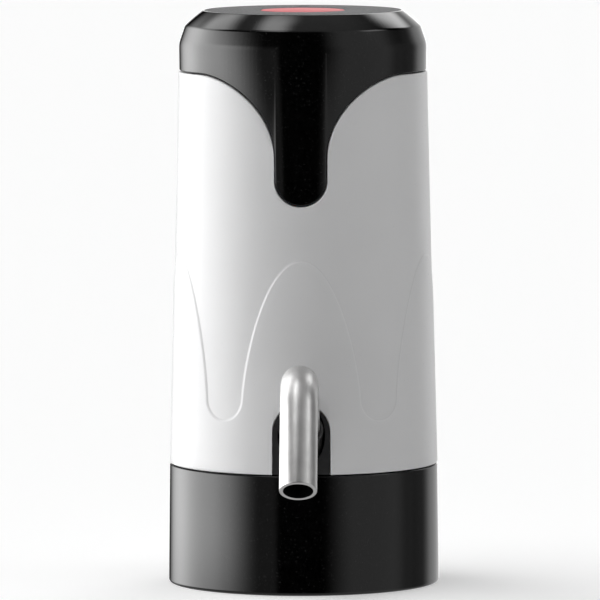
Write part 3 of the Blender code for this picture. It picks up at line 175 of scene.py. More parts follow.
def cutPiece(piece, cutters):
    for cutter in cutters:
        modifier = piece.modifiers.new("cut " + cutter.name, "BOOLEAN")
        modifier.operation = "DIFFERENCE"
        modifier.solver = "EXACT"
        modifier.object = cutter
    applyModifiers(piece)
    for cutter in cutters:
        bpy.data.objects.remove(cutter)


def roundEdges(piece, width, segments, degrees):
    modifier = piece.modifiers.new("round", "BEVEL")
    modifier.width = width
    modifier.segments = segments
    modifier.limit_method = "ANGLE"
    modifier.angle_limit = math.radians(degrees)
    applyModifiers(piece)


def addWall(piece, thickness):
    # The wall grows inward from the modelled skin
    wall = piece.modifiers.new("wall", "SOLIDIFY")
    wall.thickness = thickness
    wall.offset = -1
    return wall


def dress(piece, body, slot, *replaced):
    if not piece.data.materials:
        piece.data.materials.append(finishes[slot])
    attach(piece, body)
    if replaced:
        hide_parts(*replaced)


# Nodes that the finishes and the studio share

# Detail and roughness of each kind of noise
noiseKinds = {"drift": (2, 0.5), "grain": (3, 0.6), "speck": (0, 0.5), "lines": (4, 0.6)}
noiseLow = 0.3  # most of a noise lies between these two
noiseHigh = 0.7
colourSockets = {"first": 6, "second": 7, "result": 2}  # a Mix node's sockets for colours


def feed(tree, socket, value):
    # Another node's output is linked, and a plain value is set
    if isinstance(value, bpy.types.NodeSocket):
        tree.links.new(value, socket)
    else:
        socket.default_value = value


def addMath(tree, operation, *values):
    node = tree.nodes.new("ShaderNodeMath")
    node.operation = operation
    for index, value in enumerate(values):
        feed(tree, node.inputs[index], value)
    return node.outputs["Value"]


def addRange(tree, value, start, end, low, high, shape="LINEAR"):
    span = tree.nodes.new("ShaderNodeMapRange")
    span.interpolation_type = shape
    span.inputs["From Min"].default_value = start
    span.inputs["From Max"].default_value = end
    span.inputs["To Min"].default_value = low
    span.inputs["To Max"].default_value = high
    tree.links.new(value, span.inputs["Value"])
    return span.outputs["Result"]


def addNoise(tree, kind, scale, stretch=(1, 1, 1)):
    place = tree.nodes.new("ShaderNodeTexCoord")
    mapping = tree.nodes.new("ShaderNodeMapping")
    mapping.inputs["Scale"].default_value = stretch
    noise = tree.nodes.new("ShaderNodeTexNoise")
    noise.inputs["Scale"].default_value = scale
    noise.inputs["Detail"].default_value = noiseKinds[kind][0]
    noise.inputs["Roughness"].default_value = noiseKinds[kind][1]
    tree.links.new(place.outputs["Object"], mapping.inputs["Vector"])
    tree.links.new(mapping.outputs["Vector"], noise.inputs["Vector"])
    return noise.outputs["Fac"]


def addRamp(tree, value, *stops):
    # Each stop is its place from 0 to 1 and its colour
    ramp = tree.nodes.new("ShaderNodeValToRGB")
    elements = ramp.color_ramp.elements
    for end in (0, -1):
        elements[end].position = stops[end][0]
        elements[end].color = (*stops[end][1], 1)
    for place, colour in stops[1:-1]:
        elements.new(place).color = (*colour, 1)
    tree.links.new(value, ramp.inputs["Fac"])
    return ramp.outputs["Color"]


def addBump(tree, shader, height, strength, distance):
    bump = tree.nodes.new("ShaderNodeBump")
    bump.inputs["Strength"].default_value = strength
    bump.inputs["Distance"].default_value = distance
    tree.links.new(height, bump.inputs["Height"])
    tree.links.new(bump.outputs["Normal"], shader.inputs["Normal"])


def addColourMix(tree, blend, share, first, second):
    mix = tree.nodes.new("ShaderNodeMix")
    mix.data_type = "RGBA"
    mix.blend_type = blend
    feed(tree, mix.inputs["Factor"], share)
    feed(tree, mix.inputs[colourSockets["first"]], first)
    feed(tree, mix.inputs[colourSockets["second"]], second)
    return mix.outputs[colourSockets["result"]]


# Where each tone lies between the plain wall at 0 and the raised face at 1: painted shade at the foot, painted
# highlight at the crest
reliefShadingStops = ((0, "flat"), (0.25, "foot"), (0.5, "flat"), (0.75, "crest"), (1, "flat"))


def addReliefShadeAndHighlight(tree, colour, tones):
    # Painted shade darkens the foot of the relief, and a painted highlight lightens its crest
    relief = tree.nodes.new("ShaderNodeAttribute")
    relief.attribute_name = "relief"
    stops = [(place, (tones[tone],) * 3) for place, tone in reliefShadingStops]
    return addColourMix(tree, "MULTIPLY", 1, colour, addRamp(tree, relief.outputs["Fac"], *stops))


# Finishes

speckEdge = 0.05  # how softly a speck ends
lineDepth = 0.00002


def startMaterial(name):
    material = bpy.data.materials.new(name)
    material.use_nodes = True
    return material, material.node_tree, material.node_tree.nodes["Principled BSDF"]


def driftingColour(tree, look):
    drift = addNoise(tree, "drift", look["driftScale"])
    return addRamp(tree, drift, (noiseLow, look["darkColour"]), (noiseHigh, look["paleColour"]))


def varyRoughness(tree, shader, noise, look):
    roughness = addRange(tree, noise, noiseLow, noiseHigh, look["smoothest"], look["roughest"])
    tree.links.new(roughness, shader.inputs["Roughness"])


def mouldedPlastic(name, look):
    # Colour drifts a little, and a fine grain roughens and dents the skin
    material, tree, shader = startMaterial(name)
    colour = driftingColour(tree, look)
    grain = addNoise(tree, "grain", look["grainScale"])
    if "speckColour" in look:
        share = look["speckShare"]
        speck = addNoise(tree, "speck", look["speckScale"])
        dots = addRamp(tree, speck, (share, (0, 0, 0)), (share + speckEdge, (1, 1, 1)))
        colour = addColourMix(tree, "MIX", dots, colour, (*look["speckColour"], 1))
    # The relief gets painted shade at its foot and a painted highlight at its crest
    if "reliefTones" in look:
        colour = addReliefShadeAndHighlight(tree, colour, look["reliefTones"])
    tree.links.new(colour, shader.inputs["Base Color"])
    varyRoughness(tree, shader, grain, look)
    shader.inputs["Specular IOR Level"].default_value = look["shine"]
    shader.inputs["Transmission Weight"].default_value = look.get("clear", 0)
    addBump(tree, shader, grain, look["grainStrength"], look["grainDepth"])
    return material


def brushedMetal(name, look):
    # Fine lines follow the stretch of the grain, over a slow drift of the tone
    material, tree, shader = startMaterial(name)
    lines = addNoise(tree, "lines", look["lineScale"], look["lineStretch"])
    shader.inputs["Metallic"].default_value = 1
    tree.links.new(driftingColour(tree, look), shader.inputs["Base Color"])
    varyRoughness(tree, shader, lines, look)
    addBump(tree, shader, lines, look["lineStrength"], lineDepth)
    return material


def plasticLook(dark, pale, smoothest, roughest, grainStrength, grainDepth, **rest):
    look = {"darkColour": dark, "paleColour": pale, "smoothest": smoothest, "roughest": roughest,
            "grainStrength": grainStrength, "grainDepth": grainDepth, "driftScale": 400,
            "grainScale": 2600, "shine": 0.5}
    look.update(rest)
    return look


def metalLook(dark, pale, smoothest, roughest, lineStrength, lineStretch=(1, 1, 1)):
    return {"darkColour": dark, "paleColour": pale, "smoothest": smoothest, "roughest": roughest,
            "lineStrength": lineStrength, "lineStretch": lineStretch, "lineScale": 2200, "driftScale": 300}


plasticLooks = {
    # shell_white darkens its relief's foot with painted shade and lightens its crest with a painted highlight
    "shell_white": plasticLook((0.87, 0.87, 0.875), (0.89, 0.89, 0.895), 0.27, 0.34, 0.12, 0.00002,
                               driftScale=60, reliefTones={"flat": 0.945, "foot": 0.9, "crest": 1}),
    "gloss_black": plasticLook((0.0008, 0.0008, 0.0008), (0.002, 0.002, 0.002), 0.06, 0.11, 0.06, 0.00001,
                               speckScale=2600, speckShare=0.73, speckColour=(0.016, 0.016, 0.016)),
    "panel_grey": plasticLook((0.03, 0.03, 0.031), (0.2, 0.2, 0.204), 0.45, 0.7, 0.9, 0.00012,
                              driftScale=2000, grainScale=1600),
    "button_red": plasticLook((0.8, 0.09, 0.105), (0.85, 0.115, 0.135), 0.38, 0.46, 0.25, 0.00003,
                              shine=0.45, driftScale=250),
    "smoked_lens": plasticLook((0.006, 0.007, 0.012), (0.01, 0.012, 0.02), 0.4, 0.5, 0.05, 0.00001,
                               shine=0.1),
    "led_resin": plasticLook((0.7, 0.7, 0.62), (0.8, 0.8, 0.7), 0.15, 0.25, 0.1, 0.00001, clear=0.6),
    "board_green": plasticLook((0.02, 0.12, 0.05), (0.03, 0.17, 0.07), 0.3, 0.42, 0.4, 0.00003,
                               driftScale=900),
    "black_plastic": plasticLook((0.014, 0.014, 0.015), (0.024, 0.024, 0.025), 0.34, 0.46, 0.3, 0.00003),
    "pump_plastic": plasticLook((0.55, 0.56, 0.55), (0.64, 0.65, 0.64), 0.34, 0.46, 0.2, 0.00003),
    "gear_plastic": plasticLook((0.76, 0.74, 0.66), (0.84, 0.82, 0.74), 0.3, 0.42, 0.15, 0.00002),
    "battery_wrap": plasticLook((0.02, 0.1, 0.3), (0.03, 0.14, 0.38), 0.24, 0.34, 0.25, 0.00004,
                                driftScale=200),
    "wire_red": plasticLook((0.5, 0.02, 0.02), (0.62, 0.035, 0.03), 0.36, 0.5, 0.3, 0.00003),
    "clear_silicone": plasticLook((0.76, 0.78, 0.78), (0.86, 0.88, 0.88), 0.24, 0.36, 0.2, 0.00003,
                                  clear=0.7),
    "grip_silicone": plasticLook((0.1, 0.1, 0.105), (0.15, 0.15, 0.155), 0.5, 0.65, 0.4, 0.00005),
    "black_silicone": plasticLook((0.012, 0.012, 0.012), (0.022, 0.022, 0.022), 0.3, 0.4, 0.3, 0.00003),
}
metalLooks = {
    "spout_steel": metalLook((0.62, 0.615, 0.61), (0.7, 0.695, 0.69), 0.34, 0.42, 0.1, (1, 0.12, 0.12)),
    "screw_steel": metalLook((0.45, 0.45, 0.46), (0.6, 0.6, 0.6), 0.2, 0.35, 0.2),
    "copper": metalLook((0.6, 0.28, 0.14), (0.78, 0.4, 0.22), 0.22, 0.36, 0.3, (0.1, 1, 1)),
    "can_aluminium": metalLook((0.5, 0.5, 0.51), (0.62, 0.62, 0.63), 0.28, 0.4, 0.3, (0.1, 0.1, 1)),
}
# The spout's bore is painted near-black: painted shade inside the steel tube, in place of the steel's own colour
boreShadeLook = plasticLook((0.001, 0.001, 0.001), (0.003, 0.003, 0.003), 0.5, 0.6, 0.3, 0.00003, shine=0.1)

finishes = {slot: mouldedPlastic(slot.replace("_", " "), look) for slot, look in plasticLooks.items()}
finishes.update({slot: brushedMetal(slot.replace("_", " "), look) for slot, look in metalLooks.items()})
spoutBoreShade = mouldedPlastic("spout bore painted shade", boreShadeLook)
print("finishes ready:", len(finishes))


# Curves of the body, as heights above the rim
# The counts of steps say how finely the shell's and the cap's columns follow each curve

bodyForm = {
    "topRadius": 0.03025, "bottomRadius": 0.03245, "topHeight": 0.125, "bottomHeight": 0.0289,
    "waist": 0.00006, "wall": 0.002, "seam": 0.0003,
}
waveForm = {
    "count": 5, "peak": 0.0807, "trough": 0.0472, "troughRadius": 0.00535, "relief": 0.00024,
    "bevel": 0.00045, "bevelRows": 8, "flankPower": 0.714, "reliefRadius": 0.03215,
    "troughSteps": 14, "bevelSteps": 5, "crestSteps": 26,
}
tongueForm = {"radius": 0.00625, "centre": 0.1002, "flare": 0.105, "flareWidth": 0.02325, "inset": 0.0002,
              "arcSteps": 16, "flareSteps": 24}
windowForm = {"halfWidth": 0.0071, "centre": 0.0394, "steps": 14}


def bodyRadius(height):
    fall = (bodyForm["topHeight"] - height) / (bodyForm["topHeight"] - bodyForm["bottomHeight"])
    spread = (bodyForm["bottomRadius"] - bodyForm["topRadius"]) * fall
    return bodyForm["topRadius"] + spread - bodyForm["waist"] * 4 * fall * (1 - fall)


tongueArcRadius = bodyRadius(tongueForm["centre"])


def capEdge(angle, gap):
    # The cap's lower edge: a round tongue at the front that flares out to the sides
    arc = abs(angle) * tongueArcRadius
    radius = tongueForm["radius"] + gap
    if arc <= radius:
        return tongueForm["centre"] - math.sqrt(max(radius ** 2 - arc ** 2, 0))
    width = tongueForm["flareWidth"] - gap
    across = (radius + width - arc) / width
    top = bodyForm["topHeight"] - gap
    if across <= 0:
        return top
    return tongueForm["flare"] + (top - tongueForm["flare"]) * math.sqrt(1 - across ** 2)


def waveHeight(angle, grow):
    # Round troughs with tall arches between them; growing widens the troughs and lowers the arches
    pitch = fullTurn / waveForm["count"]
    fromPeak = abs((angle + pitch / 2) % pitch - pitch / 2)
    halfArc = waveForm["reliefRadius"] * pitch / 2
    fromTrough = halfArc - waveForm["reliefRadius"] * fromPeak
    radius = waveForm["troughRadius"] + grow
    if fromTrough <= radius:
        return waveForm["trough"] - math.sqrt(max(radius ** 2 - fromTrough ** 2, 0))
    across = (halfArc - fromTrough) / (halfArc - radius)
    rise = waveForm["peak"] - grow - waveForm["trough"]
    return waveForm["trough"] + rise * (1 - across ** 2) ** waveForm["flankPower"]


def windowEdge(angle):
    # The arched window's upper edge, and the shell's foot beside it
    arc = abs(angle) * bodyForm["bottomRadius"]
    if arc > windowForm["halfWidth"]:
        return bodyForm["bottomHeight"] + bodyForm["seam"]
    return windowForm["centre"] + math.sqrt(windowForm["halfWidth"] ** 2 - arc ** 2)


def quarterShares(steps):
    return [math.sin(math.pi / 2 * step / steps) for step in range(steps + 1)]


def bothWays(angles):
    return [-angle for angle in angles] + list(angles)


def tongueColumns(gap):
    radius = tongueForm["radius"] + gap
    width = tongueForm["flareWidth"] - gap
    arcs = [radius * share for share in quarterShares(tongueForm["arcSteps"])]
    arcs += [radius + width * (1 - share) for share in quarterShares(tongueForm["flareSteps"])]
    return bothWays([arc / tongueArcRadius for arc in arcs])


def windowColumns():
    arcs = [windowForm["halfWidth"] * share for share in quarterShares(windowForm["steps"])]
    arcs.append(arcs[-1] + sliver)
    return bothWays([arc / bodyForm["bottomRadius"] for arc in arcs])


def waveColumns():
    pitch = fullTurn / waveForm["count"]
    radius = waveForm["troughRadius"]
    bevel = waveForm["bevel"]
    steps = waveForm["bevelSteps"]
    halfArc = waveForm["reliefRadius"] * pitch / 2
    arcs = [(radius - bevel) * share for share in quarterShares(waveForm["troughSteps"])]
    arcs += [radius + bevel * step / steps for step in range(-steps, steps + 1)]
    arcs += [halfArc - (halfArc - radius - bevel) * share for share in quarterShares(waveForm["crestSteps"])]
    angles = []
    for wave in range(waveForm["count"]):
        for offset in bothWays([arc / waveForm["reliefRadius"] for arc in arcs]):
            angles.append(pitch * (wave + 0.5) + offset)
    return angles


def evenColumns(count):
    return [fullTurn * step / count for step in range(count)]


def sortedColumns(angles):
    # In order round the axis, and none closer to the last than half a sliver
    least = sliver / 2 / bodyForm["bottomRadius"]
    turned = sorted((angle + math.pi) % fullTurn - math.pi for angle in angles)
    kept = [turned[0]]
    for angle in turned[1:]:
        if angle - kept[-1] > least:
            kept.append(angle)
    if kept[0] + fullTurn - kept[-1] < least:
        kept.pop()
    return kept


# White shell with the wave round its lower half

shellForm = {"edgeRound": 0.0004, "edgeSteps": 4, "rowsBelowWave": 10, "rowsAboveWave": 16}


def edgeRoundPoints():
    # How far in from the wall and how far from the edge each point of its round lies
    points = []
    for step in range(shellForm["edgeSteps"] + 1):
        turn = math.pi / 2 * step / shellForm["edgeSteps"]
        inward = shellForm["edgeRound"] * (1 - math.cos(turn))
        away = shellForm["edgeRound"] * (1 - math.sin(turn))
        points.append((inward, away))
    return points


def shellSection(angle):
    # Up the outside over the wave's bevel, over the top edge and down the inside
    bottom = windowEdge(angle)
    crest = waveHeight(angle, waveForm["bevel"])
    foot = waveHeight(angle, -waveForm["bevel"])
    top = capEdge(angle, bodyForm["seam"])
    section = []
    for inward, away in reversed(edgeRoundPoints()):
        section.append((bodyRadius(bottom + away) + waveForm["relief"] - inward, bottom + away))
    start = bottom + shellForm["edgeRound"]
    for step in range(1, shellForm["rowsBelowWave"]):
        height = start + (crest - start) * step / shellForm["rowsBelowWave"]
        section.append((bodyRadius(height) + waveForm["relief"], height))
    for step in range(waveForm["bevelRows"] + 1):
        share = step / waveForm["bevelRows"]
        height = waveHeight(angle, waveForm["bevel"] * (1 - 2 * share))
        ease = share * share * (3 - 2 * share)
        section.append((bodyRadius(height) + waveForm["relief"] * (1 - ease), height))
    end = top - shellForm["edgeRound"]
    for step in range(1, shellForm["rowsAboveWave"]):
        height = foot + (end - foot) * step / shellForm["rowsAboveWave"]
        section.append((bodyRadius(height), height))
    for inward, away in edgeRoundPoints():
        section.append((bodyRadius(top - away) - inward, top - away))
    section.append((bodyRadius(top) - bodyForm["wall"], top))
    section.append((bodyRadius(bottom) - bodyForm["wall"], bottom))
    return [(radius, height + rimHeight) for radius, height in section]


portForm = {"growth": 0.0003, "cornerSegments": 8, "extraLength": 0.006, "backShift": 0.002}


def addPortCutter():
    low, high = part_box("usb_port")
    size = high - low + Vector((2 * portForm["growth"], portForm["extraLength"], 2 * portForm["growth"]))
    centre = (low + high) / 2 + Vector((0, portForm["backShift"], 0))
    deselectAll()
    bpy.ops.mesh.primitive_cube_add(size=1, location=centre, scale=size)
    cutter = nameActive("portCutter")
    bpy.ops.object.transform_apply(location=True, rotation=True, scale=True)
    modifier = cutter.modifiers.new("ends", "BEVEL")
    modifier.width = size.z / 2 - sliver
    modifier.segments = portForm["cornerSegments"]
    modifier.limit_method = "WEIGHT"
    weights = cutter.data.attributes.new("bevel_weight_edge", "FLOAT", "EDGE")
    for edge in cutter.data.edges:
        first, second = (cutter.data.vertices[index].co for index in edge.vertices)
        if abs(first.y - second.y) > size.y / 2:
            weights.data[edge.index].value = 1
    applyModifiers(cutter)
    return cutter


def markRelief(piece):
    # How far each point stands out on the wave, from 0 on the plain wall to 1 on the raised face
    relief = piece.data.attributes.new("relief", "FLOAT", "POINT")
    for vertex in piece.data.vertices:
        reach = math.hypot(vertex.co.x, vertex.co.y) - bodyRadius(vertex.co.z - rimHeight)
        relief.data[vertex.index].value = min(max(reach / waveForm["relief"], 0), 1)


shellColumns = sortedColumns(waveColumns() + tongueColumns(bodyForm["seam"]) + windowColumns())
outerShell = wrapGrid("outerShell", shellColumns, shellSection)
cutPiece(outerShell, [addPortCutter()])
smoothPiece(outerShell)
markRelief(outerShell)
dress(outerShell, "housing", "shell_white", "outer_shell")
print("shell modelled:", len(outerShell.data.polygons), "faces")


# Black cap with its chamfer and tongue, and room for the panel, the button and the lens

capForm = {
    "flatRadius": 0.0243, "flatRound": 0.0006, "chamferRadius": 0.0286, "chamferHeight": 0.1358,
    "chamferRound": 0.0016, "chamferBulge": 0.00015, "bulgeRound": 0.038,
    "shoulderRadius": 0.0301, "shoulderHeight": 0.1315, "shoulderRound": 0.006,
    "panelLip": 0.0004, "lipRound": 0.0001, "seatDepth": 0.0012, "plate": 0.0029, "wall": 0.0024,
    "edgeRound": 0.0003, "steps": 8, "columns": 180, "buttonGap": 0.00045, "lensGap": 0.000225,
}
buttonForm = {"radius": 0.0103, "flange": 0.0016, "flangeThickness": 0.0014, "wall": 0.0013,
              "topThickness": 0.0016, "stem": 0.003, "round": 0.0004, "gap": 0.0002,
              "spins": 128, "steps": 5}
lensForm = {"radius": 0.0014, "round": 0.0003, "spins": 48, "steps": 4, "holeDepth": 0.02}

capTop = topHeight - rimHeight
panelSeatRadius = capForm["flatRadius"] - capForm["panelLip"]
lensLow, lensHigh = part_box("indicator_lens")
lensCentre = (lensLow + lensHigh) / 2


def capSection(angle):
    edge = capEdge(angle, 0)
    outer = bodyRadius(edge) - tongueForm["inset"]
    inner = bodyForm["topRadius"] - tongueForm["inset"] - capForm["wall"]
    seat = capTop - capForm["seatDepth"]
    underside = capTop - capForm["plate"]
    chamferTop = Vector((capForm["flatRadius"], capTop))
    chamferFoot = Vector((capForm["chamferRadius"], capForm["chamferHeight"]))
    outward = (chamferFoot - chamferTop).orthogonal().normalized()
    chamferMiddle = (chamferTop + chamferFoot) / 2 + outward * capForm["chamferBulge"]
    hole = buttonForm["radius"] + capForm["buttonGap"]
    corners = [
        (hole, seat, 0),
        (panelSeatRadius, seat, 0),
        (panelSeatRadius, capTop, capForm["lipRound"]),
        (capForm["flatRadius"], capTop, capForm["flatRound"]),
        (chamferMiddle.x, chamferMiddle.y, capForm["bulgeRound"]),
        (capForm["chamferRadius"], capForm["chamferHeight"], capForm["chamferRound"]),
        (capForm["shoulderRadius"], capForm["shoulderHeight"], capForm["shoulderRound"]),
        (outer, edge, capForm["edgeRound"]),
        (outer - capForm["wall"], edge, 0),
        (inner, capForm["shoulderHeight"], 0),
        (capForm["flatRadius"], underside, 0),
        (hole, underside, 0),
    ]
    return [(point.x, point.y + rimHeight) for point in filletOutline(corners, capForm["steps"])]


def openForLens(piece, gap):
    cutPiece(piece, [addHoleCutter("lensHole", lensForm["radius"] + gap, lensCentre, lensForm["holeDepth"])])
    smoothPiece(piece)


topCap = wrapGrid("topCap", sortedColumns(evenColumns(capForm["columns"]) + tongueColumns(0)), capSection)
openForLens(topCap, capForm["lensGap"])
dress(topCap, "housing", "gloss_black", "top_cap")
print("cap modelled:", len(topCap.data.polygons), "faces")


# Grey panel, red button and dark lens on top

panelForm = {"edgeGap": 0.00012, "thickness": 0.0009, "round": 0.00015, "steps": 3, "spins": 160}
panelOuter = panelSeatRadius - panelForm["edgeGap"]
panelInner = buttonForm["radius"] + buttonForm["gap"]
panelCorners = [
    (panelInner, topHeight - panelForm["thickness"], 0), (panelOuter, topHeight - panelForm["thickness"], 0),
    (panelOuter, topHeight, panelForm["round"]), (panelInner, topHeight, panelForm["round"]),
]
topPanel = spinOutline("topPanel", filletOutline(panelCorners, panelForm["steps"]), panelForm["spins"])
openForLens(topPanel, panelForm["edgeGap"])
dress(topPanel, "housing", "panel_grey", "top_panel")

buttonLow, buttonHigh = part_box("power_button")
flangeTop = topHeight - capForm["plate"] - buttonForm["gap"]
flangeLow = flangeTop - buttonForm["flangeThickness"]
flangeRadius = buttonForm["radius"] + buttonForm["flange"]
buttonRoof = buttonHigh.z - buttonForm["topThickness"]
buttonInside = buttonForm["radius"] - buttonForm["wall"]
buttonCorners = [
    (0, buttonHigh.z, 0), (buttonForm["radius"], buttonHigh.z, buttonForm["round"]),
    (buttonForm["radius"], flangeTop, 0), (flangeRadius, flangeTop, 0), (flangeRadius, flangeLow, 0),
    (buttonInside, flangeLow, 0), (buttonInside, buttonRoof, 0), (buttonForm["stem"], buttonRoof, 0),
    (buttonForm["stem"], buttonLow.z, 0), (0, buttonLow.z, 0),
]
buttonOutline = filletOutline(buttonCorners, buttonForm["steps"])
powerButton = spinOutline("powerButton", buttonOutline, buttonForm["spins"])
dress(powerButton, "button", "button_red", "power_button")

lensCorners = [
    (0, lensHigh.z, 0), (lensForm["radius"], lensHigh.z, lensForm["round"]),
    (lensForm["radius"], lensLow.z, 0), (0, lensLow.z, 0),
]
lensOutline = filletOutline(lensCorners, lensForm["steps"])
indicatorLens = spinOutline("indicatorLens", lensOutline, lensForm["spins"])
placePiece(indicatorLens, (lensCentre.x, lensCentre.y, 0), 0)
dress(indicatorLens, "housing", "smoked_lens", "indicator_lens")
print("top modelled")


# Base collar, with openings in its ceiling for the screw heads and the inlet nipple

collarForm = {
    "topRadius": 0.03265, "rimRadius": 0.033, "height": 0.0289, "wall": 0.00205, "neckDepth": 0.025,
    "ceiling": 0.002, "lipRadius": 0.0286, "lipHeight": 0.002, "rimRound": 0.0008, "topRound": 0.0003,
    "steps": 5, "spins": 180, "screws": 4, "screwGap": 0.0003, "headDepth": 0.0015,
    "inletRadius": 0.0046, "inletPlace": -0.0046,
}
collarInside = collarForm["topRadius"] - collarForm["wall"]
ceilingTop = collarForm["neckDepth"] + collarForm["ceiling"]
collarCorners = [
    (0, collarForm["neckDepth"], 0), (collarInside, collarForm["neckDepth"], 0),
    (collarInside, collarForm["lipHeight"], 0), (collarForm["lipRadius"], collarForm["lipHeight"], 0),
    (collarForm["lipRadius"], 0, 0), (collarForm["rimRadius"], 0, collarForm["rimRound"]),
    (collarForm["topRadius"], collarForm["height"], collarForm["topRound"]),
    (collarInside, collarForm["height"], 0), (collarInside, ceilingTop, 0), (0, ceilingTop, 0),
]
collarPoints = filletOutline(collarCorners, collarForm["steps"])
collarOutline = [(point.x, point.y + rimHeight) for point in collarPoints]


def openCeiling(piece):
    # The nipple's opening goes through, and the heads' stop inside the ceiling
    low = collarForm["neckDepth"] + rimHeight - collarForm["ceiling"]
    inletDepth = 3 * collarForm["ceiling"]
    inletCentre = (0, collarForm["inletPlace"], low + inletDepth / 2)
    headDepth = collarForm["ceiling"] + collarForm["headDepth"]
    cutters = [addHoleCutter("inletHole", collarForm["inletRadius"], inletCentre, inletDepth)]
    for number in range(1, collarForm["screws"] + 1):
        screwLow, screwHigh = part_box("base_screw_%d" % number)
        middle = (screwLow + screwHigh) / 2
        radius = (screwHigh.x - screwLow.x) / 2 + collarForm["screwGap"]
        centre = (middle.x, middle.y, low + headDepth / 2)
        cutters.append(addHoleCutter("headHole", radius, centre, headDepth))
    cutPiece(piece, cutters)
    smoothPiece(piece)


baseCollar = spinOutline("baseCollar", collarOutline, collarForm["spins"])
openCeiling(baseCollar)
dress(baseCollar, "housing", "gloss_black", "base_collar")
print("collar modelled")


# Arched black face in the shell's window

faceForm = {"inset": 0.00022, "seam": 0.00015, "depth": 0.0012, "steps": 20, "rows": 24,
            "round": 0.0002, "roundSegments": 3, "roundDegrees": 50,
            "socketRadius": 0.0057, "socketReach": 0.03, "socketSides": 96}
socketPlace = Vector(joints["spout_swivel"]["pos_m"])
socketAxis = Vector(joints["spout_swivel"]["axis"]).normalized()
socketTilt = math.atan2(-socketAxis.y, socketAxis.z)


def makeArchFace():
    # A sheet that follows the window's outline is bent to the body and given its thickness
    rows = faceForm["rows"]
    half = windowForm["halfWidth"] - faceForm["seam"]
    arcs = sorted(set(bothWays([half * share for share in quarterShares(faceForm["steps"])])))
    bottom = bodyForm["bottomHeight"] + bodyForm["seam"] + faceForm["seam"]
    deselectAll()
    bpy.ops.mesh.primitive_grid_add(x_subdivisions=len(arcs) - 1, y_subdivisions=rows, size=1)
    face = nameActive("archFace")
    for column, arc in enumerate(arcs):
        angle = arc / bodyForm["bottomRadius"]
        top = windowForm["centre"] + math.sqrt(half ** 2 - arc ** 2)
        for row in range(rows + 1):
            height = bottom + (top - bottom) * row / rows
            radius = bodyRadius(height) + waveForm["relief"] - faceForm["inset"]
            place = (radius * math.sin(angle), -radius * math.cos(angle), height + rimHeight)
            face.data.vertices[row * len(arcs) + column].co = place
    addWall(face, faceForm["depth"])
    applyModifiers(face)
    cutPiece(face, [addHoleCutter("socketHole", faceForm["socketRadius"], socketPlace,
                                  faceForm["socketReach"], faceForm["socketSides"], socketTilt)])
    roundEdges(face, faceForm["round"], faceForm["roundSegments"], faceForm["roundDegrees"])
    smoothPiece(face)
    return face


archFace = makeArchFace()
dress(archFace, "housing", "black_plastic")
print("arch modelled")


# Steel spout and the ring that it stands in

spoutForm = {"radius": 0.0045, "wall": 0.001, "depth": 0.008, "rise": 0.0132, "bendRadius": 0.0125,
             "bendDegrees": 103, "drop": 0.0213, "sides": 72, "bendSteps": 48,
             "rimRound": 0.0003, "rimSegments": 4, "rimDegrees": 60}
ringForm = {"inner": 0.00462, "outer": 0.00532, "proud": 0.0021, "foot": -0.008, "round": 0.0003,
            "lip": 0.0012, "sleeve": 0.0051, "steps": 6, "spins": 96}


def makeSpout():
    # A circle is drawn out straight, bent over and drawn out again, and then given its wall
    deselectAll()
    bpy.ops.mesh.primitive_circle_add(vertices=spoutForm["sides"], radius=spoutForm["radius"],
                                      location=socketPlace - socketAxis * spoutForm["depth"],
                                      rotation=(socketTilt, 0, 0))
    spout = nameActive("spoutTube")
    bpy.ops.object.transform_apply(location=True, rotation=True, scale=True)
    bpy.ops.object.mode_set(mode="EDIT")
    bpy.ops.mesh.select_all(action="SELECT")
    straight = socketAxis * (spoutForm["depth"] + spoutForm["rise"])
    bpy.ops.mesh.extrude_region_move(TRANSFORM_OT_translate={"value": straight})
    bend = math.radians(spoutForm["bendDegrees"])
    side = Vector((1, 0, 0)).cross(socketAxis)
    bendCentre = socketPlace + socketAxis * spoutForm["rise"] + side * spoutForm["bendRadius"]
    bpy.ops.mesh.spin(steps=spoutForm["bendSteps"], angle=bend, center=bendCentre, axis=(-1, 0, 0))
    downward = Quaternion((1, 0, 0), bend) @ socketAxis * spoutForm["drop"]
    bpy.ops.mesh.extrude_region_move(TRANSFORM_OT_translate={"value": downward})
    closeSeams()
    bpy.ops.object.mode_set(mode="OBJECT")
    spout.data.materials.append(finishes["spout_steel"])
    spout.data.materials.append(spoutBoreShade)
    wall = addWall(spout, spoutForm["wall"])
    wall.material_offset = 1  # the bore takes the second material, a near-black painted shade inside the steel tube
    applyModifiers(spout)
    roundEdges(spout, spoutForm["rimRound"], spoutForm["rimSegments"], spoutForm["rimDegrees"])
    smoothPiece(spout)
    return spout


spoutTube = makeSpout()
dress(spoutTube, "spout_tube", "spout_steel", "spout")

lipFoot = ringForm["proud"] - ringForm["lip"]
ringCorners = [
    (ringForm["inner"], ringForm["foot"], 0), (ringForm["sleeve"], ringForm["foot"], 0),
    (ringForm["sleeve"], lipFoot, 0), (ringForm["outer"], lipFoot, ringForm["round"] / 2),
    (ringForm["outer"], ringForm["proud"], ringForm["round"]),
    (ringForm["inner"], ringForm["proud"], ringForm["round"] / 2),
]
spoutRing = spinOutline("spoutRing", filletOutline(ringCorners, ringForm["steps"]), ringForm["spins"])
placePiece(spoutRing, socketPlace, socketTilt)
dress(spoutRing, "bush", "black_silicone", "spout_bush")
print("spout modelled")


# Finishes of the pieces that stay as they are

for subpart in frame["record"]["subparts"]:
    node = nodes[subpart["node"]]
    node.data.materials.clear()
    node.data.materials.append(finishes[subpart["material_slot"]])
print("inner pieces finished")


# Camera at the photograph's place

cameraForm = {"place": (0.038215, -2.048773, 0.220167), "target": (-0.000828, 0, 0.043724),
              "roll": -0.00229, "lens": 506.29, "sensor": 36, "farEnd": 50}


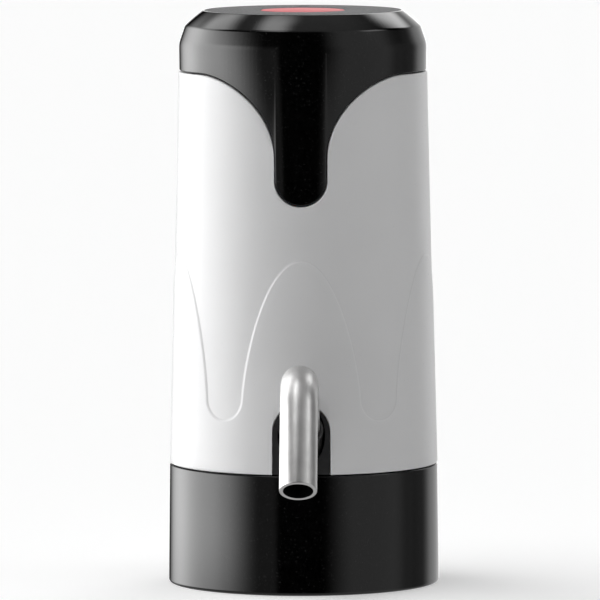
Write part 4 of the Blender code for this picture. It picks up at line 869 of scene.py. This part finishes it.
def placeCamera():
    place = Vector(cameraForm["place"])
    aim = (Vector(cameraForm["target"]) - place).to_track_quat("-Z", "Y")
    turned = aim @ Quaternion((0, 0, 1), cameraForm["roll"])
    bpy.ops.object.camera_add(location=place, rotation=turned.to_euler())
    camera = bpy.context.object
    camera.data.lens = cameraForm["lens"]
    camera.data.sensor_width = cameraForm["sensor"]
    camera.data.clip_end = cameraForm["farEnd"]
    bpy.context.scene.camera = camera


placeCamera()
print("camera placed")


# Studio: soft panels of light round a dark front, as seen in the black plastic
# A panel's middle is degrees round from the front and up from the horizon
# Its light is full as far as "full" from there, and gone at "edge", both ways

studioForm = {
    "leftPanel": {"middle": (-102, 6), "full": (15, 10), "edge": (65, 32), "radiance": 4.8},
    "leftGlow": {"middle": (-46, 0), "full": (20, 10), "edge": (27, 40), "radiance": 0.18},
    "leftTopPanel": {"middle": (-130, 42), "full": (10, 4), "edge": (28, 16), "radiance": 2.6},
    "rightPanel": {"middle": (64, 10), "full": (18, 30), "edge": (48, 60), "radiance": 0.5},
    "wedgePanel": {"middle": (88, 40), "full": (10, 3), "edge": (20, 12), "radiance": 1.6},
    "rearGlow": {"middle": (116, 0), "full": (8, 12), "edge": (20, 30), "radiance": 0.15},
    "rearPanel": {"middle": (155, 0), "full": (14, 12), "edge": (32, 30), "radiance": 0.8},
    "backdrop": {"middle": (180, 4), "full": (5, 8), "edge": (11, 16), "radiance": 1.2},
    "rimPanel": {"middle": (156, 37), "full": (8, 5), "edge": (28, 17), "radiance": 3.4},
    "overheadPanel": {"middle": (-105, 75), "full": (10, 2), "edge": (80, 12), "radiance": 3.4},
    "frontPanel": {"middle": (-42, 62), "full": (10, 2), "edge": (26, 14), "radiance": 2.2},
    "ceiling": {"start": 38, "end": 72, "radiance": 0.35},
    "tableGlow": {"start": -14, "end": -40, "radiance": 0.5},
}


def addFade(tree, value, start, end, level):
    return addRange(tree, value, start, end, 0, level, "SMOOTHSTEP")


def addPanel(tree, turn, rise, look):
    across = addMath(tree, "WRAP", addMath(tree, "SUBTRACT", turn, look["middle"][0]), 180, -180)
    along = addMath(tree, "SUBTRACT", rise, look["middle"][1])
    edge = look["edge"]
    full = look["full"]
    wide = addFade(tree, addMath(tree, "ABSOLUTE", across), edge[0], full[0], look["radiance"])
    high = addFade(tree, addMath(tree, "ABSOLUTE", along), edge[1], full[1], 1)
    return addMath(tree, "MULTIPLY", wide, high)


def makeWorld():
    world = bpy.data.worlds.new("studio")
    world.use_nodes = True
    bpy.context.scene.world = world
    tree = world.node_tree
    background = tree.nodes["Background"]
    background.inputs["Color"].default_value = (1, 1, 1, 1)
    place = tree.nodes.new("ShaderNodeTexCoord")
    split = tree.nodes.new("ShaderNodeSeparateXYZ")
    tree.links.new(place.outputs["Generated"], split.inputs["Vector"])
    front = addMath(tree, "MULTIPLY", split.outputs["Y"], -1)
    turn = addMath(tree, "DEGREES", addMath(tree, "ARCTAN2", split.outputs["X"], front))
    rise = addMath(tree, "DEGREES", addMath(tree, "ARCSINE", split.outputs["Z"]))
    light = 0
    for look in studioForm.values():
        if "middle" in look:
            part = addPanel(tree, turn, rise, look)
        else:
            part = addFade(tree, rise, look["start"], look["end"], look["radiance"])
        light = addMath(tree, "ADD", light, part)
    # The camera and rays through clear silicone see plain white behind the object
    rays = tree.nodes.new("ShaderNodeLightPath")
    showsWhite = addMath(tree, "MAXIMUM", rays.outputs["Is Camera Ray"], rays.outputs["Is Transmission Ray"])
    seen = tree.nodes.new("ShaderNodeMix")
    tree.links.new(showsWhite, seen.inputs["Factor"])
    tree.links.new(light, seen.inputs["A"])
    seen.inputs["B"].default_value = 1
    tree.links.new(seen.outputs["Result"], background.inputs["Strength"])


makeWorld()

floorForm = {"size": 12, "colour": (0.75, 0.75, 0.75), "roughness": 0.9, "glow": 0.35}


def makeFloor():
    # A pale floor that takes the shadow and looks white to the camera
    deselectAll()
    bpy.ops.mesh.primitive_plane_add(size=floorForm["size"], location=(0, 0, rimHeight))
    floor = nameActive("studioFloor")
    material, tree, shader = startMaterial("floor white")
    shader.inputs["Base Color"].default_value = (*floorForm["colour"], 1)
    shader.inputs["Roughness"].default_value = floorForm["roughness"]
    shader.inputs["Specular IOR Level"].default_value = 0
    shader.inputs["Emission Color"].default_value = (1, 1, 1, 1)
    rays = tree.nodes.new("ShaderNodeLightPath")
    glow = addMath(tree, "MULTIPLY", rays.outputs["Is Camera Ray"], floorForm["glow"])
    tree.links.new(glow, shader.inputs["Emission Strength"])
    floor.data.materials.append(material)
    floor.visible_glossy = False


makeFloor()

bpy.context.scene.view_settings.view_transform = "Standard"
print("studio lit")
